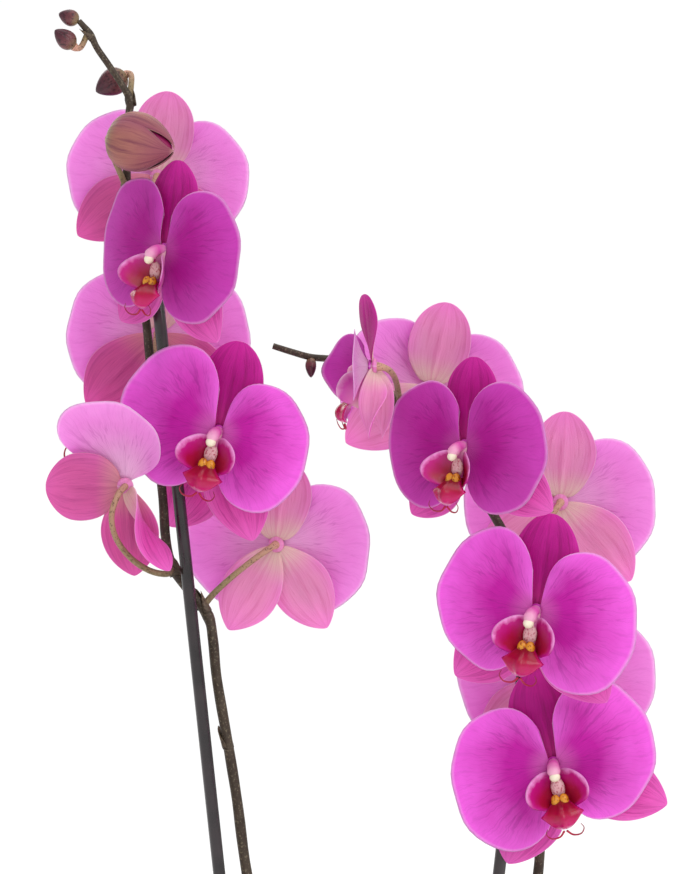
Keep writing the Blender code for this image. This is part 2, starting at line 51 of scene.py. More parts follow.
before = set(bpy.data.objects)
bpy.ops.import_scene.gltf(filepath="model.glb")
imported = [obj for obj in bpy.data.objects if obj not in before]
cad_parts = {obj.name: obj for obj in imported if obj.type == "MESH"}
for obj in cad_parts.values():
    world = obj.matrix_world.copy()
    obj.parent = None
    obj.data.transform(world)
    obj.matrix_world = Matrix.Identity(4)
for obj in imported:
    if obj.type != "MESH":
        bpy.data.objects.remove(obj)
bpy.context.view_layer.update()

MM = 0.001
# heights on the plant count from the foot of the crown
PLANT = Matrix.Translation((0, 0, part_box("crown")[0][2] / MM))


def linear(code):
    """Linear RGBA of an sRGB hex colour. A colour that is numbers already stays as it is."""
    if not isinstance(code, str):
        return tuple(code)
    values = [int(code[i:i + 2], 16) / 255 for i in (1, 3, 5)]
    return (*[((c + 0.055) / 1.055) ** 2.4 if c > 0.04045 else c / 12.92 for c in values], 1.0)


# ---------------------------------------------------------------- places taken over from the CAD part

LEFT_SPIKE = (
    (-15.4, 0, 58), (-18, 0, 82), (-28, 0, 123), (-42, 0, 178), (-51.5, 0, 223), (-56.5, 0, 260),
    (-61, 0, 288), (-66.5, 0, 320), (-68.5, 0, 340), (-71, 0, 352), (-80, 1, 364), (-88.6, 2, 376),
    (-92.1, 1, 390), (-93.5, 0, 410), (-96, 0, 435), (-98.5, 0, 460), (-100.5, 0, 485), (-102, 0, 500),
    (-105.5, 0, 530), (-110, 0, 555), (-111.5, 0, 570), (-111.5, 0, 585), (-110.5, 0, 602.5),
    (-110, 0, 610), (-114, 0, 617.5), (-121, 0, 628), (-126.5, 0, 636), (-130, 0, 643),
    (-135.5, 0, 649.5),
)
RIGHT_SPIKE = (
    (15.4, 0, 54), (21, 0, 76), (45, 0, 113), (72, 0, 158), (88, 0, 198), (94, 0, 223), (96, 0, 260),
    (98, 0, 290), (98.5, 0, 326), (94, 0, 350), (87.5, 0, 372.5), (74.5, 0, 398), (60, 0, 420),
    (42.5, 0, 440), (25, 2, 457.5), (14, 5, 471), (3, 7, 478), (-8, 6, 480.5), (-19.5, 3, 481.5),
    (-29, 0, 484), (-38.5, 0, 487),
)
SPIKE_RADII = (2.8, 1.5)
PEDICEL_RADIUS = 1.55

# centre, yaw (0 faces the front, negative turns left), pitch, roll, size, forward lift of the petals,
# height on the spike at which the pedicel leaves
FLOWERS = {
    "left_flower_1": ((-98, 28, 574), 180, 0, 8, 0.95, 0, 538),
    "left_flower_2": ((-91, -30, 533), -40, 0, -5, 0.97, -4, 512),
    "left_flower_3": ((-98, 30, 494), 180, 0, 0, 0.96, 0, 468),
    "left_flower_4": ((-65, -18, 444), -11, 0, -13, 1, 0, 453),
    "left_flower_5": ((-111, -16, 418), 180, 15, 0, 1, 0, 376),
    "left_flower_6": ((-37, 20, 387), 170, 0, 5, 0.98, 4, 352),
    "right_flower_1": ((10, -34, 476), -98, 0, 0, 0.92, 0, 457),
    "right_flower_2": ((41, 34, 466.5), 180, 0, 12, 0.97, 0, 434),
    "right_flower_3": ((56, -28, 437), -37, 0, -3, 0.96, -2, 410),
    "right_flower_4": ((106.5, 20, 408.5), 180, 0, 3, 1, 0, 376),
    "right_flower_5": ((90.5, -40, 357), -20, 0, -8, 1.04, 0, 340),
    "right_flower_6": ((105.5, 28, 318.5), 180, 0, 0, 1.03, 0, 300),
    "right_flower_7": ((100, -25, 281), -7, 0, 12, 1.03, 0, 264),
}
PEDICEL_WAY = {
    "left_flower_5": (
        (-91, -9, 373.5), (-99, -17, 375.5), (-108, -22, 382), (-115, -25, 392), (-117, -26, 403),
        (-114, -25, 413),
    ),
}
# centre, length, width, direction of the tip, height on the spike at which the pedicel leaves
BUDS = {
    "left_bud_1": ((-142.5, -2, 640.5), 13, 10.5, (-0.6, -0.3, 0.5), 643),
    "left_bud_2": ((-120.5, 12, 620), 18, 15, (-0.8, -0.2, -0.5), 610),
    "left_bud_3": ((-102.8, -21, 586), 35.5, 29, (0.93, -0.3, -0.22), 563),
}
TIP_BUDS = (("left_spike", (-141, 0, 651.5), 10, 9), ("right_spike", (-19.5, 1, 475), 8, 6))
STAKES = {
    "left_stake": ((-35.4, -7, -52), (-95.9, -7, 512)),
    "right_stake": ((41.5, -7, -52), (85.6, -7, 322)),
}
# azimuth (degrees), height of the base, length factor, rise at the base, droop at the tip
LEAVES = (
    (240, 36, 1, 34, -38),
    (60, 42, 1.03, 38, -36),
    (300, 52, 0.94, 44, -30),
    (120, 59, 0.9, 48, -24),
    (271, 69, 0.62, 62, 6),
)

# ---------------------------------------------------------------- how the blades of each flower sit

# angle about the flower's centre, lift to the front, curl back, turn about its length (degrees, but the
# curl in millimetres), length factor, width factor
BLADES = {
    "top_sepal": (90, 0, 0, 0, 1.0, 1.0),
    "left_sepal": (-135, 0, 3, 0, 1.0, 1.0),
    "right_sepal": (-45, 0, 3, 0, 1.0, 1.0),
    "right_petal": (0, 0, 0, 0, 1.0, 1.0),
    "left_petal": (180, 0, 0, 0, 1.0, 1.0),
}
ARRANGED = {
    "left_flower_2": {
        "right_sepal": (-55, 0, 6, 0, 1.02, 1.0), "right_petal": (-8, -4, 0, 0, 1.0, 1.0),
        "left_petal": (172, -4, 0, 0, 1.0, 1.0),
    },
    "left_flower_4": {
        "left_sepal": (-112, -25, 0, 0, 1.24, 1.12), "right_sepal": (-61, 0, 4, 0, 1.06, 1.0),
        "left_petal": (180, 0, 0, 0, 1.05, 1.0), "right_petal": (0, 0, 0, 0, 0.95, 1.0),
    },
    "left_flower_5": {
        "top_sepal": (2, -6, 0, 0, 0.85, 1.08), "left_sepal": (236, -32, 0, 150, 0.93, 0.75),
        "right_sepal": (265, 0, 0, 0, 0.87, 0.88), "right_petal": (95, -14, 0, 0, 0.88, 0.8),
        "left_petal": (262, -2, 0, 0, 0.7, 0.26),
    },
    "left_flower_6": {"left_sepal": (-127, 3, 0, 0, 0.95, 0.95), "right_sepal": (-67, -7, 0, 0, 0.95, 0.95)},
    "right_flower_1": {
        "top_sepal": (90, 12, 0, 34, 0.84, 0.95), "left_sepal": (-122, -6, 0, 180, 0.85, 0.55),
        "right_sepal": (-64, -4, 0, 180, 0.8, 0.48), "right_petal": (0, 6, 0, 0, 0.93, 0.5),
        "left_petal": (180, 8, -42, 0, 0.74, 0.65),
    },
    "right_flower_3": {"right_sepal": (-33, 0, 8, 0, 1.05, 1.0), "left_petal": (180, 2, 0, 0, 0.98, 1.0)},
    "right_flower_7": {
        "left_sepal": (-126.5, 0, 3, 0, 1.02, 1.0), "right_sepal": (-32, 0, 4, 0, 1.08, 1.0),
        "left_petal": (180, 0, 0, 0, 1.03, 1.0),
    },
}
# how far the petals sweep round like a pinwheel, as a share of their length
SWEEP = {"left_flower_4": 0.11, "left_flower_5": 0.46, "right_flower_5": 0.08, "right_flower_7": -0.10}
# flowers that turn left, away from the key light, whose petals get a darker copy of the upper skin: painted
# shade
SHADED_FLOWERS = ("left_flower_2", "right_flower_1", "right_flower_3")
# flower: its sepals that are a deeper pink outside
DEEP_BACKS = {
    "left_flower_1": ("left_sepal", "right_sepal"), "left_flower_3": ("left_sepal", "right_sepal"),
    "left_flower_5": ("top_sepal", "right_sepal"),
}
# degrees by which the lip and column turn about the flower's axis
LIP_SWING = {"left_flower_5": 104}

BLADE_FOOT = 2.0  # from the flower's centre to where its blades start
BLADE_FOOT_HALF = 2.6  # half width of a blade there
PETAL_LAYER, SEPAL_LAYER = 0.6, -1.6  # how far the blades start in front of the flower's centre
# centre and radii of the discs that the blades leave
PETAL_DISC = ((0, 0, 0.2), (3.6, 3.6, 1.3))
SEPAL_DISC = ((0, 0, -2.2), (4.2, 4.2, 1.6))
PEDICEL_SEAT = 2.4  # from a flower's centre back to the end of its stalk

# start and span, in degrees, of the three sepals round the opening bud
BUD_WRAPS = ((204, 146), (76, 146), (322, 100))
BUD_CORE = (0.94, 0.93)  # length and width of the petals inside it, as shares of its own
BUD_SEAT = 0.46  # from a bud's middle back to the end of its stalk, as a share of its length
# how long a stalk keeps its direction at each end, as the length of its curve's handles
PEDICEL_REACH, BUD_STALK_REACH = 12.0, 7.0
BRACT_SHARES = (0.1, 0.22, 0.34)  # places of the bracts on the bare stem, as shares of its length
BRACT_TURN = 40  # how far such a bract is turned round the stem, in radians for the whole length
BRACT_DROP = 1.5  # from where a stalk leaves down to its bract
JOINT_BRACT_FIT, BARE_BRACT_FIT = 1.02, 1.04  # a bract's radius as a share of the stem's

STAKE_RADIUS = 3.1
STAKE_STEPS = 40
# along the rounded end: share of its length, share of the radius left there
STAKE_TIP = ((0.35, 0.95), (0.7, 0.8), (1.0, 0.5))
STAKE_TIP_LENGTH = 2

CHIP_INSET = 6 * MM  # from the boards to the chips
CHIP_SINK = 2 * MM  # from the top of the medium down to the chips
CHIP_CRUMBLE = 18 * MM  # how far the strongest noise would push a chip's corners
CHIP_SEED = 7

LEAF_CLEAR = 0.08  # share of the light that comes through a leaf

BLADE_GRID = (44, 36)  # rows from foot to rim, columns across
BLADE_CROWDING = 1.25  # the more, up to a quarter turn in radians, the closer the columns at the sides
LEAF_GRID = (56, 24)
EGG_GRID = (12, 16)  # rows from pole to pole, sides

# the camera stands level in front, and half of the view's height at the plant is VIEW_HALF, in metres
CAMERA_DISTANCE, CAMERA_HEIGHT, VIEW_HALF = 1.4, 0.5335, 0.2185
LAMP_AIM = (0, 0, 0.5)  # metres


# ---------------------------------------------------------------- settings

class FlowerSettings(bpy.types.PropertyGroup):
    petal_length: FloatProperty(
        name="Petal length", description="From the flower's centre to the rim of a petal",
        default=47 * MM, unit="LENGTH", subtype="DISTANCE")
    petal_fan: FloatProperty(
        name="Petal fan", description="Half of the angle that a petal covers",
        default=math.radians(86), subtype="ANGLE")
    sepal_length: FloatProperty(
        name="Top sepal length", description="From the flower's centre to the tip of the top sepal",
        default=46 * MM, unit="LENGTH", subtype="DISTANCE")
    side_sepal_length: FloatProperty(
        name="Side sepal length", description="From the flower's centre to the tip of a lower sepal",
        default=53 * MM, unit="LENGTH", subtype="DISTANCE")
    sepal_width: FloatProperty(
        name="Sepal width", description="Widest part of a sepal",
        default=34 * MM, unit="LENGTH", subtype="DISTANCE")
    blade_thickness: FloatProperty(
        name="Blade thickness", description="Thickness of petals and sepals at their middle",
        default=0.8 * MM, unit="LENGTH", subtype="DISTANCE")
    petal_colour: FloatVectorProperty(
        name="Petal", description="Upper side of a petal at its middle",
        default=linear("#cf20b2"), size=4, subtype="COLOR", min=0, max=1)
    # the petal's paler rim is partly its own colour and partly painted light let through the thin margin
    rim_colour: FloatVectorProperty(
        name="Petal rim", description="Upper side of a petal near its rim",
        default=linear("#f670ea"), size=4, subtype="COLOR", min=0, max=1)
    sepal_colour: FloatVectorProperty(
        name="Sepal", description="Inner side of a sepal",
        default=linear("#b4068a"), size=4, subtype="COLOR", min=0, max=1)
    back_colour: FloatVectorProperty(
        name="Petal back", description="Under side of a petal",
        default=linear("#ec82de"), size=4, subtype="COLOR", min=0, max=1)
    lip_colour: FloatVectorProperty(
        name="Lip", description="Inside of the lip",
        default=linear("#b00640"), size=4, subtype="COLOR", min=0, max=1)


class PlantSettings(bpy.types.PropertyGroup):
    stem_colour: FloatVectorProperty(
        name="Stem", description="Skin of the two flower spikes",
        default=linear("#463b30"), size=4, subtype="COLOR", min=0, max=1)
    leaf_colour: FloatVectorProperty(
        name="Leaf", description="Upper side of a leaf",
        default=linear("#3f6b2a"), size=4, subtype="COLOR", min=0, max=1)
    leaf_length: FloatProperty(
        name="Leaf length", description="Length of the longest leaves",
        default=190 * MM, unit="LENGTH", subtype="DISTANCE")
    leaf_width: FloatProperty(
        name="Leaf width", description="Widest part of the longest leaves",
        default=66 * MM, unit="LENGTH", subtype="DISTANCE")
    leaf_thickness: FloatProperty(
        name="Leaf thickness", description="Thickness of a leaf beside its midrib",
        default=2.4 * MM, unit="LENGTH", subtype="DISTANCE")
    stem_sides: IntProperty(
        name="Stem sides", description="Flat sides round a stem", default=14, min=6, max=48)


class PlanterSettings(bpy.types.PropertyGroup):
    edge: FloatProperty(
        name="Board edge", description="Rounding of the edges of the boards",
        default=1.0 * MM, unit="LENGTH", subtype="DISTANCE")
    pine_colour: FloatVectorProperty(
        name="Pine", description="Early wood of the boards",
        default=linear("#dcb888"), size=4, subtype="COLOR", min=0, max=1)
    chip_length: FloatProperty(
        name="Chip length", description="Mean length of a bark chip",
        default=19 * MM, unit="LENGTH", subtype="DISTANCE")
    chip_count: IntProperty(
        name="Chip density", description="Bark chips in a square metre", default=15000, min=1)


class StageSettings(bpy.types.PropertyGroup):
    floor_colour: FloatVectorProperty(
        name="Floor", description="Colour of the plain floor",
        default=linear("#ffffff"), size=4, subtype="COLOR", min=0, max=1)
    floor_radius: FloatProperty(
        name="Floor radius", description="Half of the width of the floor",
        default=30.0, unit="LENGTH", subtype="DISTANCE")
    sky: FloatProperty(name="Sky strength", description="Strength of the even white light", default=0.72)
    backdrop: FloatProperty(
        name="Backdrop", description="Brightness of the white behind the plant", default=1.02)
    key: FloatProperty(name="Key light", description="Power of the large soft light in watts", default=15.0)
    back: FloatProperty(name="Back light", description="Power of the light behind in watts", default=12.0)
    noon: FloatProperty(name="Top light", description="Strength of the soft light from above", default=1.1)


# ---------------------------------------------------------------- nodes and materials

def node(tree, kind, inputs=None, stops=(), **settings):
    """Adds a node. Inputs maps a socket's name or number to a value or to the socket that feeds it.

    Stops are the places and colours of a colour ramp, and settings are the node's own.
    """
    made = tree.nodes.new(kind)
    for name, value in settings.items():
        setattr(made, name, value)
    for key, value in (inputs or {}).items():
        if isinstance(value, bpy.types.NodeSocket):
            tree.links.new(value, made.inputs[key])
        else:
            made.inputs[key].default_value = value
    for k, (place, shade) in enumerate(stops):
        ramp = made.color_ramp.elements
        step = ramp[k] if k < 2 else ramp.new(place)
        step.position = place
        step.color = linear(shade)
    return made


def material(name):
    """An empty material and its tree."""
    made = bpy.data.materials.new(name)
    made.use_nodes = True
    made.node_tree.nodes.clear()
    return made, made.node_tree


def mix(tree, amount, low, high):
    """The socket of a colour between two others."""
    blend = node(tree, "ShaderNodeMix", {0: amount, 6: low, 7: high}, data_type="RGBA")
    return blend.outputs[2]


def thin(tree, skin, share, glow):
    """Ends the tree of a thin piece. The share of the light comes through, with the inputs of glow."""
    through = node(tree, "ShaderNodeBsdfTranslucent", glow).outputs[0]
    both = node(tree, "ShaderNodeMixShader", {0: share, 1: skin, 2: through}).outputs[0]
    node(tree, "ShaderNodeOutputMaterial", {0: both})


def blade_skin(name, colours, clear, stripe=0.0, spread=0.28, mesh=0.36):
    """Living skin of a petal or sepal: soft sheen, branching veins, thin margin that is pale partly in its
    own colour and partly by painted light let through it.

    The colours are those of the foot, the middle, the rim, the very edge and the veins. The foot fades out
    at the share spread of the length, and clear is the share of light that comes through. On a petal the
    main veins are about 3 mm apart and the fine ones 1 mm, and on a sepal half of that. They are as strong
    as mesh says, and streaks of their colour as strong as stripe says.
    """
    foot, middle, rim, edge, vein = [linear(colour) for colour in colours]
    made, tree = material(name)
    place = node(tree, "ShaderNodeUVMap", uv_map="UVMap").outputs[0]
    where = node(tree, "ShaderNodeSeparateXYZ", {0: place})
    side = node(tree, "ShaderNodeMath", {0: where.outputs[1], 1: 2.0, 2: -1.0}, operation="MULTIPLY_ADD")
    side = node(tree, "ShaderNodeMath", {0: side.outputs[0]}, operation="ABSOLUTE").outputs[0]
    out = node(tree, "ShaderNodeMath", {0: where.outputs[0], 1: side}, operation="MAXIMUM").outputs[0]
    coords = node(tree, "ShaderNodeTexCoord").outputs["Object"]
    cloud = node(tree, "ShaderNodeTexNoise", {"Vector": coords, "Scale": 75.0, "Detail": 3.0}).outputs[0]
    waver = node(tree, "ShaderNodeMath", {0: cloud, 1: 0.36, 2: -0.18}, operation="MULTIPLY_ADD").outputs[0]
    zone = node(tree, "ShaderNodeMath", {0: out, 1: waver}, operation="ADD").outputs[0]
    body = node(tree, "ShaderNodeValToRGB", {0: zone}, ((0.4, middle), (0.92, rim))).outputs[0]
    hem = node(tree, "ShaderNodeMapRange", {0: out, 1: 0.955, 2: 1.0, 3: 0.0, 4: 0.8}).outputs[0]
    body = mix(tree, hem, body, edge)
    near = node(tree, "ShaderNodeMapRange", {0: where.outputs[0], 1: 0.02, 2: spread},
                interpolation_type="SMOOTHSTEP").outputs[0]
    body = mix(tree, near, foot, body)
    warp = node(tree, "ShaderNodeTexNoise", {"Vector": place, "Scale": 9.0, "Detail": 2.0}).outputs[1]
    bent = node(tree, "ShaderNodeVectorMath", {0: warp, 1: (0.05, 0.035, 0.0), 2: place},
                operation="MULTIPLY_ADD").outputs[0]
    lines = []
    for along, across, width, detail in ((0.9, 30.0, 0.03, 1.0), (2.2, 74.0, 0.05, 1.0)):
        net = node(tree, "ShaderNodeVectorMath", {0: bent, 1: (along, across, 0.0)}, operation="MULTIPLY")
        swell = node(tree, "ShaderNodeTexNoise", {"Vector": net.outputs[0], "Scale": 1.0, "Detail": detail})
        ridge = node(tree, "ShaderNodeMath", {0: swell.outputs[0], 1: -0.5}, operation="ADD").outputs[0]
        ridge = node(tree, "ShaderNodeMath", {0: ridge}, operation="ABSOLUTE").outputs[0]
        line = node(tree, "ShaderNodeMapRange", {0: ridge, 1: 0.0, 2: width, 3: 1.0, 4: 0.0})
        lines.append(line.outputs[0])
    fine = node(tree, "ShaderNodeMath", {0: lines[1], 1: 0.5}, operation="MULTIPLY").outputs[0]
    veins = node(tree, "ShaderNodeMath", {0: lines[0], 1: fine}, operation="MAXIMUM").outputs[0]
    fade = node(tree, "ShaderNodeMapRange", {0: out, 1: 1.0, 2: 0.6, 3: 0.05, 4: mesh}).outputs[0]
    veins = node(tree, "ShaderNodeMath", {0: veins, 1: fade}, operation="MULTIPLY").outputs[0]
    body = mix(tree, veins, body, vein)
    if stripe:
        long = node(tree, "ShaderNodeVectorMath", {0: bent, 1: (1.2, 16.0, 0.0)}, operation="MULTIPLY")
        streak = node(tree, "ShaderNodeTexNoise", {"Vector": long.outputs[0], "Scale": 1.0, "Detail": 2.0})
        band = node(tree, "ShaderNodeMapRange", {0: streak.outputs[0], 1: 0.48, 2: 0.66, 3: 0.0, 4: stripe})
        body = mix(tree, band.outputs[0], body, vein)
    mealy = node(tree, "ShaderNodeTexNoise", {"Vector": coords, "Scale": 2600.0, "Detail": 1.0}).outputs[0]
    relief = node(tree, "ShaderNodeMath", {0: veins, 1: -1.6, 2: mealy}, operation="MULTIPLY_ADD").outputs[0]
    bump = node(tree, "ShaderNodeBump", {"Strength": 0.35, "Distance": 0.0004, "Height": relief}).outputs[0]
    skin = node(tree, "ShaderNodeBsdfPrincipled", {
        "Base Color": body, "Roughness": 0.52, "IOR": 1.4, "Specular IOR Level": 0.35, "Normal": bump,
        "Sheen Weight": 0.12, "Sheen Roughness": 0.4}).outputs[0]
    thin(tree, skin, clear, {"Color": body, "Normal": bump})
    return made


def waxy_skin(name, stops, clear=0.2, gloss=0.35, spots=None, rim=None, fleck=420.0):
    """Smooth, slightly waxy plant skin whose colour runs along the piece's own length, with small flecks.

    The colour spots, where given, shows in the flecks, of which there are fleck to the metre. The colour rim,
    where given, lies along both side edges.
    """
    made, tree = material(name)
    place = node(tree, "ShaderNodeUVMap", uv_map="UVMap").outputs[0]
    where = node(tree, "ShaderNodeSeparateXYZ", {0: place})
    coords = node(tree, "ShaderNodeTexCoord").outputs["Object"]
    cloud = node(tree, "ShaderNodeTexNoise", {"Vector": coords, "Scale": 260.0, "Detail": 3.0}).outputs[0]
    waver = node(tree, "ShaderNodeMath", {0: cloud, 1: 0.24, 2: -0.12}, operation="MULTIPLY_ADD").outputs[0]
    along = node(tree, "ShaderNodeMath", {0: where.outputs[0], 1: waver}, operation="ADD").outputs[0]
    body = node(tree, "ShaderNodeValToRGB", {0: along}, stops).outputs[0]
    if rim:
        side = node(tree, "ShaderNodeMath", {0: where.outputs[1], 1: -0.5}, operation="ADD").outputs[0]
        side = node(tree, "ShaderNodeMath", {0: side}, operation="ABSOLUTE").outputs[0]
        side = node(tree, "ShaderNodeMath", {0: waver, 1: 0.5, 2: side}, operation="MULTIPLY_ADD").outputs[0]
        band = node(tree, "ShaderNodeMapRange", {0: side, 1: 0.34, 2: 0.5}, interpolation_type="SMOOTHSTEP")
        body = mix(tree, band.outputs[0], body, linear(rim))
    grain = node(tree, "ShaderNodeTexNoise", {"Vector": coords, "Scale": fleck, "Detail": 4.0}).outputs[0]
    if spots:
        dots = node(tree, "ShaderNodeMapRange", {0: grain, 1: 0.52, 2: 0.64, 3: 0.0, 4: 0.85}).outputs[0]
        body = mix(tree, dots, body, linear(spots))
    bump = node(tree, "ShaderNodeBump", {"Strength": 0.3, "Distance": 0.0003, "Height": grain}).outputs[0]
    skin = node(tree, "ShaderNodeBsdfPrincipled", {
        "Base Color": body, "Roughness": gloss, "IOR": 1.42, "Specular IOR Level": 0.45, "Normal": bump,
        "Coat Weight": 0.15, "Coat Roughness": 0.25}).outputs[0]
    thin(tree, skin, clear, {"Color": body, "Normal": bump})
    return made


def stem_skin(name, colour):
    """Tough stem skin: olive brown, speckled with darker and lighter dots of about 1 mm, waxy shine.

    The attribute blush turns it pinkish beige towards the flowers.
    """
    made, tree = material(name)
    coords = node(tree, "ShaderNodeTexCoord").outputs["Object"]
    blush = node(tree, "ShaderNodeAttribute", attribute_name="blush").outputs["Fac"]
    cloud = node(tree, "ShaderNodeTexNoise", {"Vector": coords, "Scale": 120.0, "Detail": 4.0}).outputs[0]
    shade = node(tree, "ShaderNodeValToRGB", {0: cloud}, ((0.35, "#32281f"), (0.62, colour))).outputs[0]
    ripe = node(tree, "ShaderNodeValToRGB", {0: blush},
                ((0.0, "#54463a"), (0.45, "#857252"), (1.0, "#c49280"))).outputs[0]
    turn = node(tree, "ShaderNodeMapRange", {0: blush, 1: 0.0, 2: 0.18}).outputs[0]
    body = mix(tree, turn, shade, ripe)
    dots = node(tree, "ShaderNodeTexNoise", {"Vector": coords, "Scale": 900.0, "Detail": 2.0}).outputs[0]
    dark = node(tree, "ShaderNodeMapRange", {0: dots, 1: 0.56, 2: 0.66, 3: 0.0, 4: 0.7}).outputs[0]
    pale = node(tree, "ShaderNodeMapRange", {0: dots, 1: 0.42, 2: 0.33, 3: 0.0, 4: 0.3}).outputs[0]
    body = mix(tree, dark, body, linear("#3a2622"))
    body = mix(tree, pale, body, linear("#a3937a"))
    bump = node(tree, "ShaderNodeBump", {"Strength": 0.4, "Distance": 0.0003, "Height": cloud}).outputs[0]
    skin = node(tree, "ShaderNodeBsdfPrincipled", {
        "Base Color": body, "Roughness": 0.5, "IOR": 1.45, "Specular IOR Level": 0.3, "Normal": bump})
    node(tree, "ShaderNodeOutputMaterial", {0: skin.outputs[0]})
    return made


def pine(name, colour, grain):
    """Planed and oiled pine: growth rings about 8 mm apart run along the board, fine pores between them."""
    made, tree = material(name)
    coords = node(tree, "ShaderNodeTexCoord").outputs["Object"]
    along = node(tree, "ShaderNodeVectorMath", {0: coords, 1: grain}, operation="MULTIPLY").outputs[0]
    warp = node(tree, "ShaderNodeTexNoise", {"Vector": along, "Scale": 9.0, "Detail": 3.0}).outputs[1]
    bent = node(tree, "ShaderNodeVectorMath", {0: warp, 1: (0.045, 0.045, 0.045), 2: along},
                operation="MULTIPLY_ADD").outputs[0]
    rings = node(tree, "ShaderNodeTexWave", {"Vector": bent, "Scale": 38.0, "Distortion": 1.5, "Detail": 2.0},
                 wave_type="BANDS", bands_direction="Z", wave_profile="SAW").outputs[1]
    late = node(tree, "ShaderNodeMapRange", {0: rings, 1: 0.55, 2: 1.0, 3: 0.0, 4: 0.75}).outputs[0]
    body = mix(tree, late, colour, linear("#b98750"))
    fine = node(tree, "ShaderNodeTexNoise", {"Vector": along, "Scale": 700.0, "Detail": 3.0}).outputs[0]
    pores = node(tree, "ShaderNodeMapRange", {0: fine, 1: 0.55, 2: 0.75, 3: 0.0, 4: 0.4}).outputs[0]
    body = mix(tree, pores, body, linear("#96683a"))
    height = node(tree, "ShaderNodeMath", {0: fine, 1: 0.4, 2: late}, operation="MULTIPLY_ADD").outputs[0]
    bump = node(tree, "ShaderNodeBump", {"Strength": 0.35, "Distance": 0.0004, "Height": height}).outputs[0]
    skin = node(tree, "ShaderNodeBsdfPrincipled", {
        "Base Color": body, "Roughness": 0.48, "IOR": 1.5, "Normal": bump}).outputs[0]
    node(tree, "ShaderNodeOutputMaterial", {0: skin})
    return made


def fir_bark(name):
    """Broken fir bark, dry: reddish brown, matt, in crumbs about 3 mm wide, each chip its own tone."""
    made, tree = material(name)
    coords = node(tree, "ShaderNodeTexCoord").outputs["Object"]
    tone = node(tree, "ShaderNodeAttribute", attribute_name="tone").outputs["Fac"]
    cork = node(tree, "ShaderNodeTexNoise",
                {"Vector": coords, "Scale": 160.0, "Detail": 6.0, "Roughness": 0.7}).outputs[0]
    layers = node(tree, "ShaderNodeTexVoronoi", {"Vector": coords, "Scale": 330.0}).outputs[0]
    amount = node(tree, "ShaderNodeMath", {0: tone, 1: 0.5, 2: cork}, operation="MULTIPLY_ADD")
    body = node(tree, "ShaderNodeValToRGB", {0: amount.outputs[0]},
                ((0.36, "#2c1b13"), (0.6, "#5c3a26"), (0.82, "#8c6242"), (1.0, "#a98662"))).outputs[0]
    height = node(tree, "ShaderNodeMath", {0: cork, 1: layers}, operation="ADD").outputs[0]
    bump = node(tree, "ShaderNodeBump", {"Strength": 0.9, "Distance": 0.0015, "Height": height}).outputs[0]
    skin = node(tree, "ShaderNodeBsdfPrincipled", {"Base Color": body, "Roughness": 0.9, "Normal": bump})
    node(tree, "ShaderNodeOutputMaterial", {0: skin.outputs[0]})
    return made


def leaf_skin(name, colours, gloss):
    """Thick leathery leaf: waxy, with a pale midrib, faint veins about 2 mm apart and mottled green.

    The colours are those of the skin, its darker patches and the veins.
    """
    colour, dark, vein = [linear(shade) for shade in colours]
    made, tree = material(name)
    place = node(tree, "ShaderNodeUVMap", uv_map="UVMap").outputs[0]
    where = node(tree, "ShaderNodeSeparateXYZ", {0: place})
    coords = node(tree, "ShaderNodeTexCoord").outputs["Object"]
    cloud = node(tree, "ShaderNodeTexNoise", {"Vector": coords, "Scale": 38.0, "Detail": 5.0}).outputs[0]
    body = mix(tree, cloud, dark, colour)
    long = node(tree, "ShaderNodeVectorMath", {0: place, 1: (1.5, 34.0, 0.0)},
                operation="MULTIPLY").outputs[0]
    veins = node(tree, "ShaderNodeTexNoise", {"Vector": long, "Scale": 1.0, "Detail": 2.0}).outputs[0]
    band = node(tree, "ShaderNodeMapRange", {0: veins, 1: 0.5, 2: 0.7, 3: 0.0, 4: 0.35}).outputs[0]
    body = mix(tree, band, body, vein)
    side = node(tree, "ShaderNodeMath", {0: where.outputs[1], 1: -0.5}, operation="ADD").outputs[0]
    side = node(tree, "ShaderNodeMath", {0: side}, operation="ABSOLUTE").outputs[0]
    rib = node(tree, "ShaderNodeMapRange", {0: side, 1: 0.0, 2: 0.03, 3: 0.5, 4: 0.0}).outputs[0]
    body = mix(tree, rib, body, vein)
    bump = node(tree, "ShaderNodeBump", {"Strength": 0.25, "Distance": 0.0005, "Height": veins}).outputs[0]
    skin = node(tree, "ShaderNodeBsdfPrincipled", {
        "Base Color": body, "Roughness": gloss, "IOR": 1.45, "Normal": bump, "Coat Weight": 0.25,
        "Coat Roughness": 0.2}).outputs[0]
    thin(tree, skin, LEAF_CLEAR, {"Color": body})
    return made


def stake_coat(name):
    """Dark glossy plastic coat over a steel rod: smooth, with faint lengthwise drawing lines 0.5 mm apart."""
    made, tree = material(name)
    coords = node(tree, "ShaderNodeTexCoord").outputs["Object"]
    drawn = node(tree, "ShaderNodeVectorMath", {0: coords, 1: (1.0, 1.0, 0.02)},
                 operation="MULTIPLY").outputs[0]
    lines = node(tree, "ShaderNodeTexNoise", {"Vector": drawn, "Scale": 1800.0, "Detail": 2.0}).outputs[0]
    cloud = node(tree, "ShaderNodeTexNoise", {"Vector": coords, "Scale": 60.0, "Detail": 3.0}).outputs[0]
    body = node(tree, "ShaderNodeValToRGB", {0: cloud}, ((0.35, "#140c10"), (0.7, "#2c2024"))).outputs[0]
    rough = node(tree, "ShaderNodeMapRange", {0: cloud, 1: 0.3, 2: 0.7, 3: 0.22, 4: 0.34}).outputs[0]
    bump = node(tree, "ShaderNodeBump", {"Strength": 0.2, "Distance": 0.0001, "Height": lines}).outputs[0]
    skin = node(tree, "ShaderNodeBsdfPrincipled", {
        "Base Color": body, "Roughness": rough, "IOR": 1.5, "Normal": bump, "Coat Weight": 0.2,
        "Coat Roughness": 0.15}).outputs[0]
    node(tree, "ShaderNodeOutputMaterial", {0: skin})
    return made


